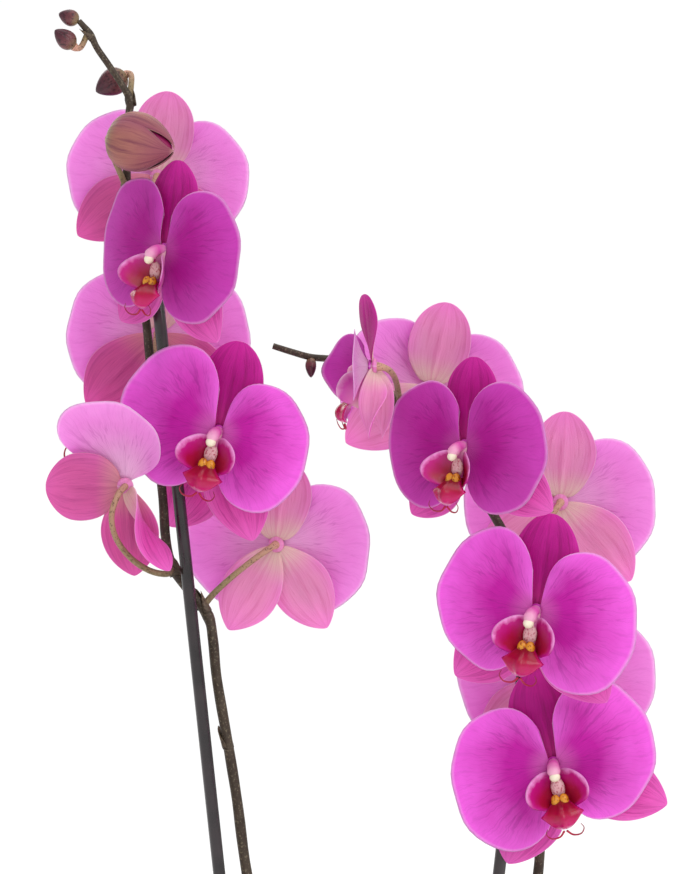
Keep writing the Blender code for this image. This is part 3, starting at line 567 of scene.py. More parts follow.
def stage_paper(name, colour):
    """Seamless matt studio paper."""
    made, tree = material(name)
    coords = node(tree, "ShaderNodeTexCoord").outputs["Object"]
    tooth = node(tree, "ShaderNodeTexNoise", {"Vector": coords, "Scale": 400.0, "Detail": 2.0}).outputs[0]
    body = mix(tree, tooth, colour, linear("#ffffff"))
    skin = node(tree, "ShaderNodeBsdfPrincipled", {"Base Color": body, "Roughness": 0.95})
    node(tree, "ShaderNodeOutputMaterial", {0: skin.outputs[0]})
    return made


def once(make, name, *values, **more):
    """The material of that name, made at its first use."""
    return bpy.data.materials.get(name) or make(name, *values, **more)


# ---------------------------------------------------------------- mesh helpers

def show(name, data):
    """A new object in the scene."""
    thing = bpy.data.objects.new(name, data)
    bpy.context.scene.collection.objects.link(thing)
    return thing


def unit_grid(rows, columns):
    """Shares from foot to tip, 0 to 1, and across, -1 to 1, at the points of a grid."""
    return np.broadcast_arrays(np.linspace(0, 1, rows)[:, None], np.linspace(-1, 1, columns)[None, :])


def thickness(full, reach, across, powers, foot):
    """Thickness of a blade: full in its middle and nothing at its foot, tip and sides.

    The higher the powers for tip and sides, and foot, the nearer to the rim it falls off.
    """
    tip, side = powers
    return full * np.sqrt(np.abs((1 - reach**tip) * (1 - across**side))) * np.minimum(1, reach * foot)


class Skins:
    """Gathers closed skins of the plant, each with its own finish, into one mesh. Points are millimetres."""

    def __init__(self, place=Matrix()):
        self.place = PLANT @ place
        self.points, self.faces, self.corners, self.finishes, self.slots = [], [], [], [], []

    def sheet(self, grid, finish, flip=False, round_way=False):
        """A grid of points. The texture runs from row to row, then across.

        With round_way the last column joins the first.
        """
        rows, columns = grid.shape[:2]
        start = sum(len(p) for p in self.points)
        self.points.append(grid.reshape(-1, 3))
        if finish not in self.finishes:
            self.finishes.append(finish)
        slot = self.finishes.index(finish)
        last = columns if round_way else columns - 1
        for i in range(rows - 1):
            for j in range(last):
                a, b = start + i * columns + j, start + i * columns + (j + 1) % columns
                face = (a, a + columns, b + columns, b)
                u, w, v, x = i / (rows - 1), (i + 1) / (rows - 1), j / last, (j + 1) / last
                corner = ((u, v), (w, v), (w, x), (u, x))
                self.faces.append(face[::-1] if flip else face)
                self.corners.append(corner[::-1] if flip else corner)
                self.slots.append(slot)

    def blade(self, middle, thick, front, back):
        """A thin closed blade about the middle surface, where thick falls to nothing at the rim."""
        along = np.gradient(middle, axis=0)
        across = np.gradient(middle, axis=1)
        normal = np.cross(along, across)
        normal /= np.maximum(np.linalg.norm(normal, axis=2, keepdims=True), 1e-9)
        half = normal * thick[..., None] / 2
        self.sheet(middle + half, front)
        self.sheet(middle - half, back, flip=True)

    def rod(self, path, radii, sides, finish):
        """A tube along the path with closed ends that stand out by half of their radius."""
        path = np.asarray(path, float)
        radii = np.asarray(radii, float)
        ahead = np.gradient(path, axis=0)
        ahead /= np.linalg.norm(ahead, axis=1, keepdims=True)
        side = Vector(ahead[0]).orthogonal()
        rings = [np.repeat(path[:1] - ahead[:1] * radii[0] * 0.5, sides, axis=0)]
        for here, way, radius in zip(path, ahead, radii):
            way = Vector(way)
            side = (side - way * side.dot(way)).normalized()
            up = way.cross(side)
            turn = np.arange(sides)[:, None] * 2 * math.pi / sides
            rings.append(here + (np.cos(turn) * np.array(side) + np.sin(turn) * np.array(up)) * radius)
        rings.append(np.repeat(path[-1:] + ahead[-1:] * radii[-1] * 0.5, sides, axis=0))
        self.sheet(np.array(rings), finish, flip=True, round_way=True)

    def egg(self, centre, radii, finish):
        """An ellipsoid about its centre."""
        rows, sides = EGG_GRID
        down = np.linspace(0, math.pi, rows + 1)[:, None]
        about = (np.arange(sides) * 2 * math.pi / sides)[None, :]
        ball = np.stack((np.sin(down) * np.cos(about), np.sin(down) * np.sin(about),
                         np.cos(down) * np.ones_like(about)), axis=2) * np.array(radii)
        self.sheet(ball + np.array(centre), finish, round_way=True)

    def build(self, name, slot, *nodes, body="root"):
        """Makes the object, lets it ride on the body and stand for the CAD nodes."""
        points = np.concatenate(self.points) * MM
        place = np.array(self.place)
        place[:3, 3] *= MM
        points = points @ place[:3, :3].T + place[:3, 3]
        mesh = bpy.data.meshes.new(name)
        mesh.from_pydata(points.tolist(), [], self.faces)
        for finish in self.finishes:
            mesh.materials.append(finish)
        mesh.polygons.foreach_set("material_index", self.slots)
        mesh.polygons.foreach_set("use_smooth", [True] * len(self.faces))
        layer = mesh.uv_layers.new(name="UVMap")
        layer.data.foreach_set("uv", np.array(self.corners, dtype=np.float32).ravel())
        work = bmesh.new()
        work.from_mesh(mesh)
        bmesh.ops.remove_doubles(work, verts=work.verts, dist=2e-6)
        bmesh.ops.recalc_face_normals(work, faces=work.faces)
        work.to_mesh(mesh)
        work.free()
        return settle(show(name, mesh), slot, *nodes, body=body)


def settle(thing, slot, *nodes, body="root"):
    """Hangs a finished piece on the empty of its body and hides the CAD nodes that it stands for."""
    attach(thing, body)
    if nodes:
        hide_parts(*nodes)
    return thing


def geometry_tree(name, inputs):
    """A Geometry Nodes tree with its named inputs: {name: socket type}."""
    tree = bpy.data.node_groups.new(name, "GeometryNodeTree")
    tree.interface.new_socket("Geometry", in_out="INPUT", socket_type="NodeSocketGeometry")
    for label, kind in inputs.items():
        tree.interface.new_socket(label, in_out="INPUT", socket_type=kind)
    tree.interface.new_socket("Geometry", in_out="OUTPUT", socket_type="NodeSocketGeometry")
    return tree


def grow(name, base, tree, inputs, smooth=True):
    """The plain mesh object that the tree makes of the base mesh with its inputs: {name: value}."""
    thing = show(name, base)
    step = thing.modifiers.new(tree.name, "NODES")
    step.node_group = tree
    for item in tree.interface.items_tree:
        if item.in_out == "INPUT" and item.name in inputs:
            step[item.identifier] = inputs[item.name]
    graph = bpy.context.evaluated_depsgraph_get()
    grown = bpy.data.meshes.new_from_object(thing.evaluated_get(graph))
    thing.modifiers.clear()
    thing.data = grown
    grown.polygons.foreach_set("use_smooth", [smooth] * len(grown.polygons))
    return thing


def smooth_path(knots, steps):
    """Catmull-Rom curve through the knots."""
    knots = [Vector(k) for k in knots]
    ends = [2 * knots[0] - knots[1]] + knots + [2 * knots[-1] - knots[-2]]
    path = []
    for a, b, c, d in zip(ends, ends[1:], ends[2:], ends[3:]):
        for step in range(steps):
            t = step / steps
            path.append(0.5 * (2 * b + (c - a) * t + (2 * a - 5 * b + 4 * c - d) * t**2
                               + (3 * b - a - 3 * c + d) * t**3))
    return path + [knots[-1]]


def flower_frame(centre, yaw, pitch, roll, size):
    """Place of a flower's axes, in millimetres."""
    upright = Matrix(((1, 0, 0, 0), (0, 0, -1, 0), (0, 1, 0, 0), (0, 0, 0, 1)))
    turned = Matrix.Rotation(math.radians(yaw), 4, "Z") @ Matrix.Rotation(math.radians(-pitch), 4, "X")
    spin = Matrix.Rotation(math.radians(roll), 4, "Z")
    return Matrix.Translation(centre) @ turned @ upright @ spin @ Matrix.Scale(size, 4)


# ---------------------------------------------------------------- flowers

def petal_surface(settings, length, breadth, sweep, phase, reach, across):
    """Broad fan with a waved rim, bowed a little and creased along its middle."""
    turn = settings.petal_fan * breadth * across
    edge = (1 - np.abs(turn / (1.07 * settings.petal_fan * breadth)) ** 5) ** 0.7
    edge = edge * (1 - sweep * np.sin(turn))
    edge = edge * (1 + 0.012 * np.sin(5 * turn + phase) + 0.008 * np.sin(11 * turn + 2 * phase))
    x = BLADE_FOOT + length * edge * reach * np.cos(turn)
    y = BLADE_FOOT_HALF * across * (1 - reach) + 0.9 * length * edge * reach * np.sin(turn)
    out = np.minimum(1.0, np.hypot(x, y) / length)
    z = 2.5 * np.sin(math.pi * out) - 1.5 * out**2
    z -= 0.7 * np.exp(-((across / 0.06) ** 2)) * np.sin(math.pi * reach)
    z += 0.9 * reach**3 * np.sin(4 * turn + phase) + 0.5 * reach**4 * np.sin(9 * turn + 3 * phase)
    z -= 1.4 * reach**2 * across**4
    return x, y, z


def sepal_surface(settings, length, breadth, blunt, phase, reach, across):
    """Oval sepal, bowed back, with a groove along its middle; blunt rounds its tip."""
    t = 1 - (1 - reach) ** 1.5
    width = settings.sepal_width / MM * breadth
    oval = (width / 2 - 1) * np.sin(math.pi * t**1.12) ** (0.72 - 0.2 * blunt)
    half = BLADE_FOOT_HALF * (1 - t) ** 2 + oval
    half = half * (1 + 0.02 * np.sin(9 * t + phase))
    x = BLADE_FOOT + (length - BLADE_FOOT) * t
    y = across * half
    z = -3.0 * t**2 - 1.8 * across**2 * np.sin(math.pi * t)
    z -= 0.6 * np.exp(-((across / 0.12) ** 2)) * np.sin(math.pi * t)
    z += 0.5 * np.sin(7 * t + phase) * across * np.sin(math.pi * t)
    return x, y, z


def blade(surface, settings, length, pose, trait, phase, layer):
    """Points and thickness of one petal or sepal in the flower's axes."""
    angle, lift, curl, turn, long, wide = pose
    rows, columns = BLADE_GRID
    reach = np.linspace(0, 1, rows + 1)[:, None]
    across = np.sin(np.linspace(-1, 1, columns + 1) * BLADE_CROWDING)[None, :] / math.sin(BLADE_CROWDING)
    reach, across = np.broadcast_arrays(reach, across)
    x, y, z = surface(settings, length * long, wide, trait, phase, reach, across)
    twist = math.radians(turn) * reach**0.5
    y, z = y * np.cos(twist) - z * np.sin(twist), y * np.sin(twist) + z * np.cos(twist)
    z = z - curl * (x / length) ** 2
    swing = Matrix.Rotation(math.radians(angle), 3, "Z") @ Matrix.Rotation(math.radians(-lift), 3, "Y")
    middle = np.stack((x, y, z), axis=2) @ np.array(swing).T + np.array((0, 0, layer))
    thick = thickness(settings.blade_thickness / MM, reach, across, (6, 8), rows / 2)
    return middle, thick * (1 + 1.4 * np.exp(-reach * 9))


def flower_finishes(settings):
    """The skins of petals and sepals, front and back."""
    petal, rim, back = settings.petal_colour, settings.rim_colour, settings.back_colour
    sepal = settings.sepal_colour
    return {
        # the paler rim and edge of the petal's upper skin: partly its own colour, partly painted light let
        # through the thin margin
        "petal_face": once(
            blade_skin, "Petal Upper Skin", ("#e46ecc", petal, rim, "#f8c4f2", "#8e0a80"), 0.42),
        # a darker copy of the petal's upper skin: painted shade for the flowers that turn away from the key
        # light
        "petal_painted_shade": once(
            blade_skin, "Petal Upper Skin Dark", ("#cc50b2", "#b8129a", "#d048be", "#eeb4e6", "#7c066c"),
            0.4),
        "petal_back": once(
            blade_skin, "Petal Under Skin", ("#f8cdee", back, "#f4a8ea", "#fde0fa", "#c050b0"), 0.42,
            spread=0.9, mesh=0.4),
        "sepal_face": once(
            blade_skin, "Sepal Inner Skin", ("#c0288c", sepal, "#d432ac", "#f0a8dc", "#740850"), 0.4,
            stripe=0.3),
        "sepal_low": once(
            blade_skin, "Lower Sepal Inner Skin", ("#fac8ec", "#e04eb6", "#f076d2", "#fbd0f2", "#9c1470"),
            0.4, stripe=0.3, spread=0.35, mesh=0.5),
        "sepal_back": once(
            blade_skin, "Sepal Outer Skin", ("#f8e2d4", "#ffb2e0", "#fda2e6", "#ffe6f8", "#de68a8"), 0.45,
            stripe=0.3),
        "sepal_deep": once(
            blade_skin, "Sepal Outer Skin Deep", ("#e89cac", "#e468b0", "#ea72c0", "#fac8e6", "#b03480"), 0.4,
            stripe=0.25),
    }


def lip_finishes(settings):
    """The skins of the lip and the column."""
    deep = settings.lip_colour
    return {
        "inside": once(
            waxy_skin, "Lip Inner Skin",
            ((0.0, "#c8401a"), (0.16, "#9c0a1c"), (0.55, deep), (0.86, "#c40c84"), (0.99, "#f098dc")),
            0.25, 0.32, rim="#c81090"),
        "outside": once(
            waxy_skin, "Lip Outer Skin",
            ((0.0, "#efcbc6"), (0.35, "#e07ab8"), (0.8, "#e05cc4"), (1.0, "#f8c0e8")), 0.3, 0.4),
        "tongue": once(
            waxy_skin, "Lip Tongue Skin",
            ((0.0, "#c8641c"), (0.12, "#84061c"), (0.5, "#b0043c"), (0.78, "#cc0e70"), (1.0, "#f0a8dc")),
            0.25, 0.24, rim="#cc1470"),
        "callus": once(
            waxy_skin, "Lip Callus Wax", ((0.0, "#e8a030"), (0.55, "#d27c1c"), (1.0, "#b44c10")),
            0.15, 0.25, spots="#8b1010", fleck=650.0),
        "throat": once(
            waxy_skin, "Lip Throat Skin", ((0.0, "#e8b0b8"), (0.5, "#eec4c8"), (1.0, "#d890a0")),
            0.2, 0.35, spots="#b8204c", fleck=900.0),
        "column": once(
            waxy_skin, "Column Skin", ((0.0, "#e9a8cf"), (0.45, "#e054b4"), (0.85, "#f4b4d4")), 0.25, 0.35),
        "cap": once(waxy_skin, "Anther Cap", ((0.0, "#fbf4dc"), (1.0, "#f0dfc4")), 0.2, 0.3),
        "thread": once(waxy_skin, "Lip Thread Skin", ((0.0, "#b3083c"), (1.0, "#8b1030")), 0.1, 0.35),
    }


def lip_lobe(side):
    """Upright side lobe: one half of the cup that stands open below the column."""
    reach, across = unit_grid(21, 25)
    turn = across * math.radians(46)
    edge = 20 * (1 - np.abs(turn / math.radians(60)) ** 3) ** 0.7 * reach
    heading = math.radians(62) + turn
    x = 2.2 + 0.84 * edge * np.cos(heading) - 1.2 * across * (1 - reach)
    y = -21.5 + edge * np.sin(heading) + 0.8 * across * (1 - reach)
    z = 5.0 + 1.0 * (x - 2.2) - 3.2 * np.sin(math.pi * reach) * np.cos(math.pi / 2 * across) - 1.5 * reach**6
    z += 0.5 * reach**3 * np.sin(7 * turn + side)
    points = np.stack((side * x, y, z), axis=2)
    thick = thickness(1.0, reach, across, (6, 6), 9)
    return (points if side > 0 else points[:, ::-1]), thick


def lip_tongue():
    """Middle lobe: narrow waist, two pointed corners, a crease along its middle, tip folded under."""
    bend = ((0, -16, 7), (0, -19, 12.5), (0, -23, 16.5), (0, -27.5, 16.5), (0, -30, 13))
    spine = np.array(smooth_path(bend, 7))
    reach, across = unit_grid(len(spine), 17)
    x = across * np.interp(reach, (0, 0.2, 0.4, 0.58, 0.68, 0.84, 1), (3.4, 5.2, 8.2, 10.5, 8, 4.2, 0.8))
    y = spine[:, 1:2] + 1.5 * across**2 * np.exp(-(((reach - 0.6) / 0.15) ** 2))
    z = spine[:, 2:3] - 0.5 * np.abs(x) + 1.6 * np.exp(-((across / 0.22) ** 2)) * np.sin(math.pi * reach)
    points = np.stack((x, y, z), axis=2)
    return points, thickness(1.3, reach, across, (8, 8), 12)


def add_lip(skins, finishes):
    """Claw, cup of two side lobes, callus, middle lobe with its two tendrils, and the column over them.

    Points and radii are in the flower's axes.
    """
    claw = smooth_path(((0, 0.5, -1.0), (0, -6, 1.6), (0, -13, 3.2), (0, -20, 6.2)), 5)
    skins.rod(claw, np.linspace(3.0, 2.6, len(claw)), 14, finishes["outside"])
    for side in (-1, 1):
        points, thick = lip_lobe(side)
        skins.blade(points, thick, finishes["inside"], finishes["outside"])
        skins.egg((side * 1.9, -16.8, 8.8), (2.4, 3.3, 2.2), finishes["callus"])
        curl = smooth_path(((side * 0.6, -30.6, 13.8), (side * 3.2, -33.0, 13.6), (side * 7.0, -33.0, 14.8),
                            (side * 9.0, -30.4, 16.2), (side * 8.0, -28.0, 17.0)), 5)
        skins.rod(curl, np.linspace(0.55, 0.16, len(curl)), 8, finishes["thread"])
    skins.egg((0, -11.0, 5.4), (3.4, 5.0, 2.0), finishes["throat"])
    points, thick = lip_tongue()
    skins.blade(points, thick, finishes["tongue"], finishes["outside"])
    arch = smooth_path(((0, 0.0, -1.0), (0, 0.2, 3.0), (0, -0.8, 6.6), (0, -2.8, 9.4), (0, -4.6, 10.4)), 5)
    girth = np.interp(np.linspace(0, 1, len(arch)), (0, 0.25, 0.5, 0.75, 1), (2.6, 2.5, 2.9, 3.2, 2.2))
    skins.rod(arch, girth, 18, finishes["column"])
    skins.egg((0, -5.2, 10.5), (2.6, 2.4, 2.3), finishes["cap"])


class ORCHID_OT_flowers(bpy.types.Operator):
    """Thirteen open flowers, each with three sepals, two petals, a lip and a column"""
    bl_idname = "orchid.flowers"
    bl_label = "Flowers"

    def execute(self, context):
        settings = context.scene.orchid_flower
        skin, deep = flower_finishes(settings), lip_finishes(settings)
        lengths = {
            "top_sepal": settings.sepal_length / MM, "left_sepal": settings.side_sepal_length / MM,
            "right_sepal": settings.side_sepal_length / MM, "left_petal": settings.petal_length / MM,
            "right_petal": settings.petal_length / MM,
        }
        for number, (name, values) in enumerate(FLOWERS.items()):
            centre, yaw, pitch, roll, size, lift, _ = values
            place = flower_frame(centre, yaw, pitch, roll, size)
            petals, sepals = Skins(place), Skins(place)
            for k, (part, usual) in enumerate(BLADES.items()):
                pose = ARRANGED.get(name, {}).get(part)
                if pose is None:
                    share = lift if part.endswith("petal") else lift / 2
                    pose = (usual[0], share, *usual[2:])
                phase = 1.7 * number + 2.3 * k  # no two blades wave alike
                if part.endswith("petal"):
                    sweep = SWEEP.get(name, 0)
                    shape = blade(petal_surface, settings, lengths[part], pose, sweep, phase, PETAL_LAYER)
                    # the flowers that turn away from the key light take the darker copy of the skin, painted
                    # shade
                    face = skin["petal_painted_shade" if name in SHADED_FLOWERS else "petal_face"]
                    petals.blade(*shape, face, skin["petal_back"])
                else:
                    top = part == "top_sepal"
                    blunt = float(top)
                    shape = blade(sepal_surface, settings, lengths[part], pose, blunt, phase, SEPAL_LAYER)
                    inner = "sepal_face" if top else "sepal_low"
                    outer = "sepal_deep" if part in DEEP_BACKS.get(name, ()) else "sepal_back"
                    sepals.blade(*shape, skin[inner], skin[outer])
            sepals.egg(*SEPAL_DISC, skin["sepal_back"])
            petals.egg(*PETAL_DISC, skin["petal_face"])
            petals.build(name + "_petal_pair", "petal", name + "_petals")
            sepals.build(name + "_sepal_trio", "sepal", name + "_sepals")
            spin = Matrix.Rotation(math.radians(LIP_SWING.get(name, 0)), 4, "Z")
            lip = Skins(place @ spin)
            add_lip(lip, deep)
            lip.build(name + "_lip_and_column", "lip", name + "_lip")
        return {"FINISHED"}


# ---------------------------------------------------------------- stems and buds

def pedicel_path(path, name, height, end, axis, reach):
    """Stalk from the stem to a flower or bud, arriving along its axis."""
    start = min(path[len(path) // 3:], key=lambda p: abs(p.z - height))
    if name in PEDICEL_WAY:
        return smooth_path([start, *PEDICEL_WAY[name], end - axis, end], 4)
    leave = (end - start).normalized() * 0.5 + Vector((0, 0, 0.5))
    return [Vector(p) for p in interpolate_bezier(start, start + leave * reach, end - axis * reach, end, 22)]


def stem_tree():
    """Tubes along the lines of the base mesh, with its attribute width as their radius."""
    tree = geometry_tree("Stems Along Their Lines", {"Sides": "NodeSocketInt", "Skin": "NodeSocketMaterial"})
    start = node(tree, "NodeGroupInput")
    curve = node(tree, "GeometryNodeMeshToCurve", {0: start.outputs["Geometry"]}).outputs[0]
    ring = node(tree, "GeometryNodeCurvePrimitiveCircle",
                {"Resolution": start.outputs["Sides"], "Radius": 1.0})
    width = node(tree, "GeometryNodeInputNamedAttribute", {"Name": "width"}).outputs[0]
    tube = node(tree, "GeometryNodeCurveToMesh",
                {"Curve": curve, "Profile Curve": ring.outputs[0], "Scale": width, "Fill Caps": True})
    whole = node(tree, "GeometryNodeRealizeInstances", {0: tube.outputs[0]}).outputs[0]
    dressed = node(tree, "GeometryNodeSetMaterial", {0: whole, "Material": start.outputs["Skin"]}).outputs[0]
    node(tree, "NodeGroupOutput", {0: dressed})
    return tree


def bract_tree():
    """Copies of a bract at the base mesh's points, turned and sized by their attributes."""
    tree = geometry_tree("Bracts At The Joints", {"Bract": "NodeSocketObject", "Skin": "NodeSocketMaterial"})
    start = node(tree, "NodeGroupInput")
    shape = node(tree, "GeometryNodeObjectInfo", {"Object": start.outputs["Bract"]}).outputs["Geometry"]
    turn = node(tree, "GeometryNodeInputNamedAttribute", {"Name": "turn"},
                data_type="FLOAT_VECTOR").outputs[0]
    turn = node(tree, "FunctionNodeEulerToRotation", {0: turn}).outputs[0]
    size = node(tree, "GeometryNodeInputNamedAttribute", {"Name": "width"}).outputs[0]
    copies = node(tree, "GeometryNodeInstanceOnPoints",
                  {"Points": start.outputs["Geometry"], "Instance": shape, "Rotation": turn, "Scale": size})
    whole = node(tree, "GeometryNodeRealizeInstances", {0: copies.outputs[0]}).outputs[0]
    dressed = node(tree, "GeometryNodeSetMaterial", {0: whole, "Material": start.outputs["Skin"]}).outputs[0]
    node(tree, "NodeGroupOutput", {0: dressed})
    return tree


def line_mesh(name, lines):
    """Mesh of open lines: (points in mm, radii in mm, blush) for each."""
    points, edges, widths, blush = [], [], [], []
    for path, radii, tint in lines:
        start = len(points)
        points += [tuple((PLANT @ p) * MM) for p in path]
        edges += [(k, k + 1) for k in range(start, len(points) - 1)]
        widths += [r * MM for r in radii]
        blush += list(tint)
    mesh = bpy.data.meshes.new(name)
    mesh.from_pydata(points, edges, [])
    mesh.attributes.new("width", "FLOAT", "POINT").data.foreach_set("value", widths)
    mesh.attributes.new("blush", "FLOAT", "POINT").data.foreach_set("value", blush)
    return mesh


def spike_lines(knots, stalks):
    """The stem, its pedicels and the joints where bracts sit."""
    path = smooth_path(knots, 6)
    last = len(path) - 1
    radii = []
    for k, here in enumerate(path):
        radius = SPIKE_RADII[0] + (SPIKE_RADII[1] - SPIKE_RADII[0]) * (k / last) ** 1.5
        knuckle = sum(math.exp(-(((here.z - s[1]) / 3.0) ** 2)) for s in stalks)
        radii.append(radius * (1 + 0.22 * min(knuckle, 1.0) + 0.03 * math.sin(here.z * 0.21)))
    lines = [(path, radii, [0.0] * len(path))]
    joints = []
    for values in stalks:
        curve = pedicel_path(path, *values)
        count = len(curve) - 1
        widths, tint = [], []
        for k in range(count + 1):
            t = k / count
            flare = 0.35 * max(0, t - 0.85) / 0.15
            widths.append(PEDICEL_RADIUS * (1.15 - 0.2 * math.sin(math.pi * t) + flare))
            tint.append(0.15 + 0.85 * t)
        lines.append((curve, widths, tint))
        joints.append((curve[0], (curve[2] - curve[0]).normalized()))
    return lines, joints


def bract_shape(skin):
    """A clasping scale for a stem of 1 mm radius, 4.4 mm long there, that points up its z axis."""
    skins = Skins(PLANT.inverted())
    reach, across = unit_grid(9, 9)
    wrap = across * math.radians(118) * (1 - reach**1.6)
    out = 1.12 + 0.5 * reach**2
    points = np.stack((out * np.cos(wrap), out * np.sin(wrap), -0.8 + 4.4 * reach), axis=2)
    skins.blade(points, thickness(0.22, reach, across, (4, 6), 8), skin, skin)
    return skins


def bract_points(name, joints):
    """Points with the turn and size of each bract."""
    mesh = bpy.data.meshes.new(name)
    mesh.from_pydata([tuple((PLANT @ where) * MM) for where, _, _, _ in joints], [], [])
    turns = []
    for _, up, out, _ in joints:
        out = (out - up * out.dot(up)).normalized()
        turns += list(Matrix((out, up.cross(out), up)).transposed().to_euler())
    mesh.attributes.new("turn", "FLOAT_VECTOR", "POINT").data.foreach_set("vector", turns)
    sizes = [size for _, _, _, size in joints]
    mesh.attributes.new("width", "FLOAT", "POINT").data.foreach_set("value", sizes)
    return mesh


class ORCHID_OT_stems(bpy.types.Operator):
    """The two flower spikes with the pedicels of their flowers and buds, and a bract at every joint"""
    bl_idname = "orchid.stems"
    bl_label = "Flower Spikes"

    def execute(self, context):
        plant = context.scene.orchid_plant
        skin = once(stem_skin, "Flower Spike Skin", plant.stem_colour)
        papery = once(waxy_skin, "Dry Bract", ((0.0, "#54463a"), (0.6, "#6e5c4a"), (1.0, "#94806a")),
                      0.2, 0.6, spots="#3a2c24", fleck=700.0)
        stalks = {"left_spike": [], "right_spike": []}
        for name, (centre, yaw, pitch, roll, size, _, height) in FLOWERS.items():
            axis = (flower_frame(centre, yaw, pitch, roll, size).to_3x3() @ Vector((0, 0, 1))).normalized()
            end = Vector(centre) - axis * PEDICEL_SEAT * size
            stalks[name.split("_")[0] + "_spike"].append((name, height, end, axis, PEDICEL_REACH))
        for name, (centre, length, _, direction, height) in BUDS.items():
            axis = Vector(direction).normalized()
            end = Vector(centre) - axis * length * BUD_SEAT
            stalks["left_spike"].append((name, height, end, axis, BUD_STALK_REACH))
        tree, scales = stem_tree(), bract_tree()
        shape = bract_shape(papery)
        for name, knots in (("left_spike", LEFT_SPIKE), ("right_spike", RIGHT_SPIKE)):
            lines, joints = spike_lines(knots, stalks[name])
            inputs = {"Sides": plant.stem_sides, "Skin": skin}
            stem = grow(name + "_stem", line_mesh(name, lines), tree, inputs)
            settle(stem, "stem", name)
            path, radii, _ = lines[0]
            seats = []
            for where, out in joints:
                k = min(range(len(path)), key=lambda i: (path[i] - where).length)
                up = (path[min(k + 1, len(path) - 1)] - path[max(k - 1, 0)]).normalized()
                seats.append((path[k] - up * BRACT_DROP, up, out, radii[k] * JOINT_BRACT_FIT))
            for share in BRACT_SHARES:
                k = int(share * (len(path) - 1))
                up = (path[k + 1] - path[k - 1]).normalized()
                out = Vector((math.cos(BRACT_TURN * share), math.sin(BRACT_TURN * share), 0))
                seats.append((path[k], up, out, radii[k] * BARE_BRACT_FIT))
            pattern = shape.build(name + "_bract_pattern", "stem")
            inputs = {"Bract": pattern, "Skin": papery}
            bracts = grow(name + "_bracts", bract_points(name + "_bract_points", seats), scales, inputs)
            bpy.data.objects.remove(pattern)
            settle(bracts, "stem")
        return {"FINISHED"}


def bud_surface(length, width, rows=36, sides=72):
    """Closed bud along +z from its foot: three sepals that meet in seams, pointed at the tip."""
    t = np.linspace(0, 1, rows + 1)[:, None]
    about = (np.arange(sides) * 2 * math.pi / sides)[None, :]
    t, about = np.broadcast_arrays(t, about)
    radius = width / 2 * np.sin(math.pi * t**0.82) ** 0.62 * (1 - 0.18 * t)
    seam = np.abs(np.sin(1.5 * about))
    radius = radius * (1 - 0.10 * np.exp(-((seam / 0.16) ** 2)) * np.sin(math.pi * t) ** 0.5)
    radius = radius * (1 + 0.04 * np.cos(3 * about + math.pi))
    return np.stack((radius * np.cos(about), radius * np.sin(about), length * (t - 0.5)), axis=2)


def bud_wrap(length, width, start, span, rows=34, columns=30):
    """One sepal of an opening bud, wrapped round it over an angle."""
    t, across = unit_grid(rows + 1, columns + 1)
    taper = 1 - 0.6 * t**4
    about = start + across * span / 2 * taper
    radius = width / 2 * np.sin(math.pi * t**0.82) ** 0.62 * (1 - 0.16 * t) * (1.09 - 0.06 * across**2)
    radius = radius + 0.35 * np.exp(-((across / 0.14) ** 2)) * np.sin(math.pi * t)
    points = np.stack((radius * np.cos(about), radius * np.sin(about), length * (t - 0.5)), axis=2)
    return points, thickness(0.9, t, across, (8, 8), 10)


class ORCHID_OT_buds(bpy.types.Operator):
    """Closed buds at the ends of the spikes and one that is opening"""
    bl_idname = "orchid.buds"
    bl_label = "Buds"

    def execute(self, context):
        small = once(waxy_skin, "Small Bud Skin",
                     ((0.0, "#82704e"), (0.35, "#6f3c40"), (0.75, "#50202e"), (1.0, "#421c2a")),
                     0.1, 0.38, spots="#34141e", fleck=600.0)
        large = once(blade_skin, "Opening Bud Skin", ("#8a7a4a", "#a86c60", "#944c5e", "#c09084", "#6c2c48"),
                     0.12, stripe=0.6)
        inner = once(waxy_skin, "Petal In Bud", ((0.0, "#8a7a4a"), (0.5, "#8a1c54"), (1.0, "#8c1550")),
                     0.1, 0.4)
        for name, (centre, length, width, direction, _) in BUDS.items():
            axis = Vector(direction).normalized()
            turn = axis.to_track_quat("Z", "Y").to_matrix().to_4x4()
            skins = Skins(Matrix.Translation(centre) @ turn)
            if name == "left_bud_3":
                core = bud_surface(length * BUD_CORE[0], width * BUD_CORE[1])
                skins.sheet(core, inner, flip=True, round_way=True)
                for start, span in BUD_WRAPS:
                    points, thick = bud_wrap(length, width, math.radians(start), math.radians(span))
                    skins.blade(points, thick, large, large)
            else:
                skins.sheet(bud_surface(length, width), small, flip=True, round_way=True)
            skins.build(name + "_closed", "bud", name)
        for number, (where, centre, length, width) in enumerate(TIP_BUDS, 1):
            knots = LEFT_SPIKE if where == "left_spike" else RIGHT_SPIKE
            nearest = min(smooth_path(knots, 2), key=lambda p: (p - Vector(centre)).length)
            axis = (Vector(centre) - nearest).normalized()
            reach = (Vector(centre) - nearest).length + length / 2
            turn = axis.to_track_quat("Z", "Y").to_matrix().to_4x4()
            skins = Skins(Matrix.Translation(nearest + axis * reach / 2) @ turn)
            skins.sheet(bud_surface(reach, width, 20, 36), small, flip=True, round_way=True)
            skins.build(f"tip_bud_{number}", "bud")
        return {"FINISHED"}


# ---------------------------------------------------------------- leaves, box, bark, stakes

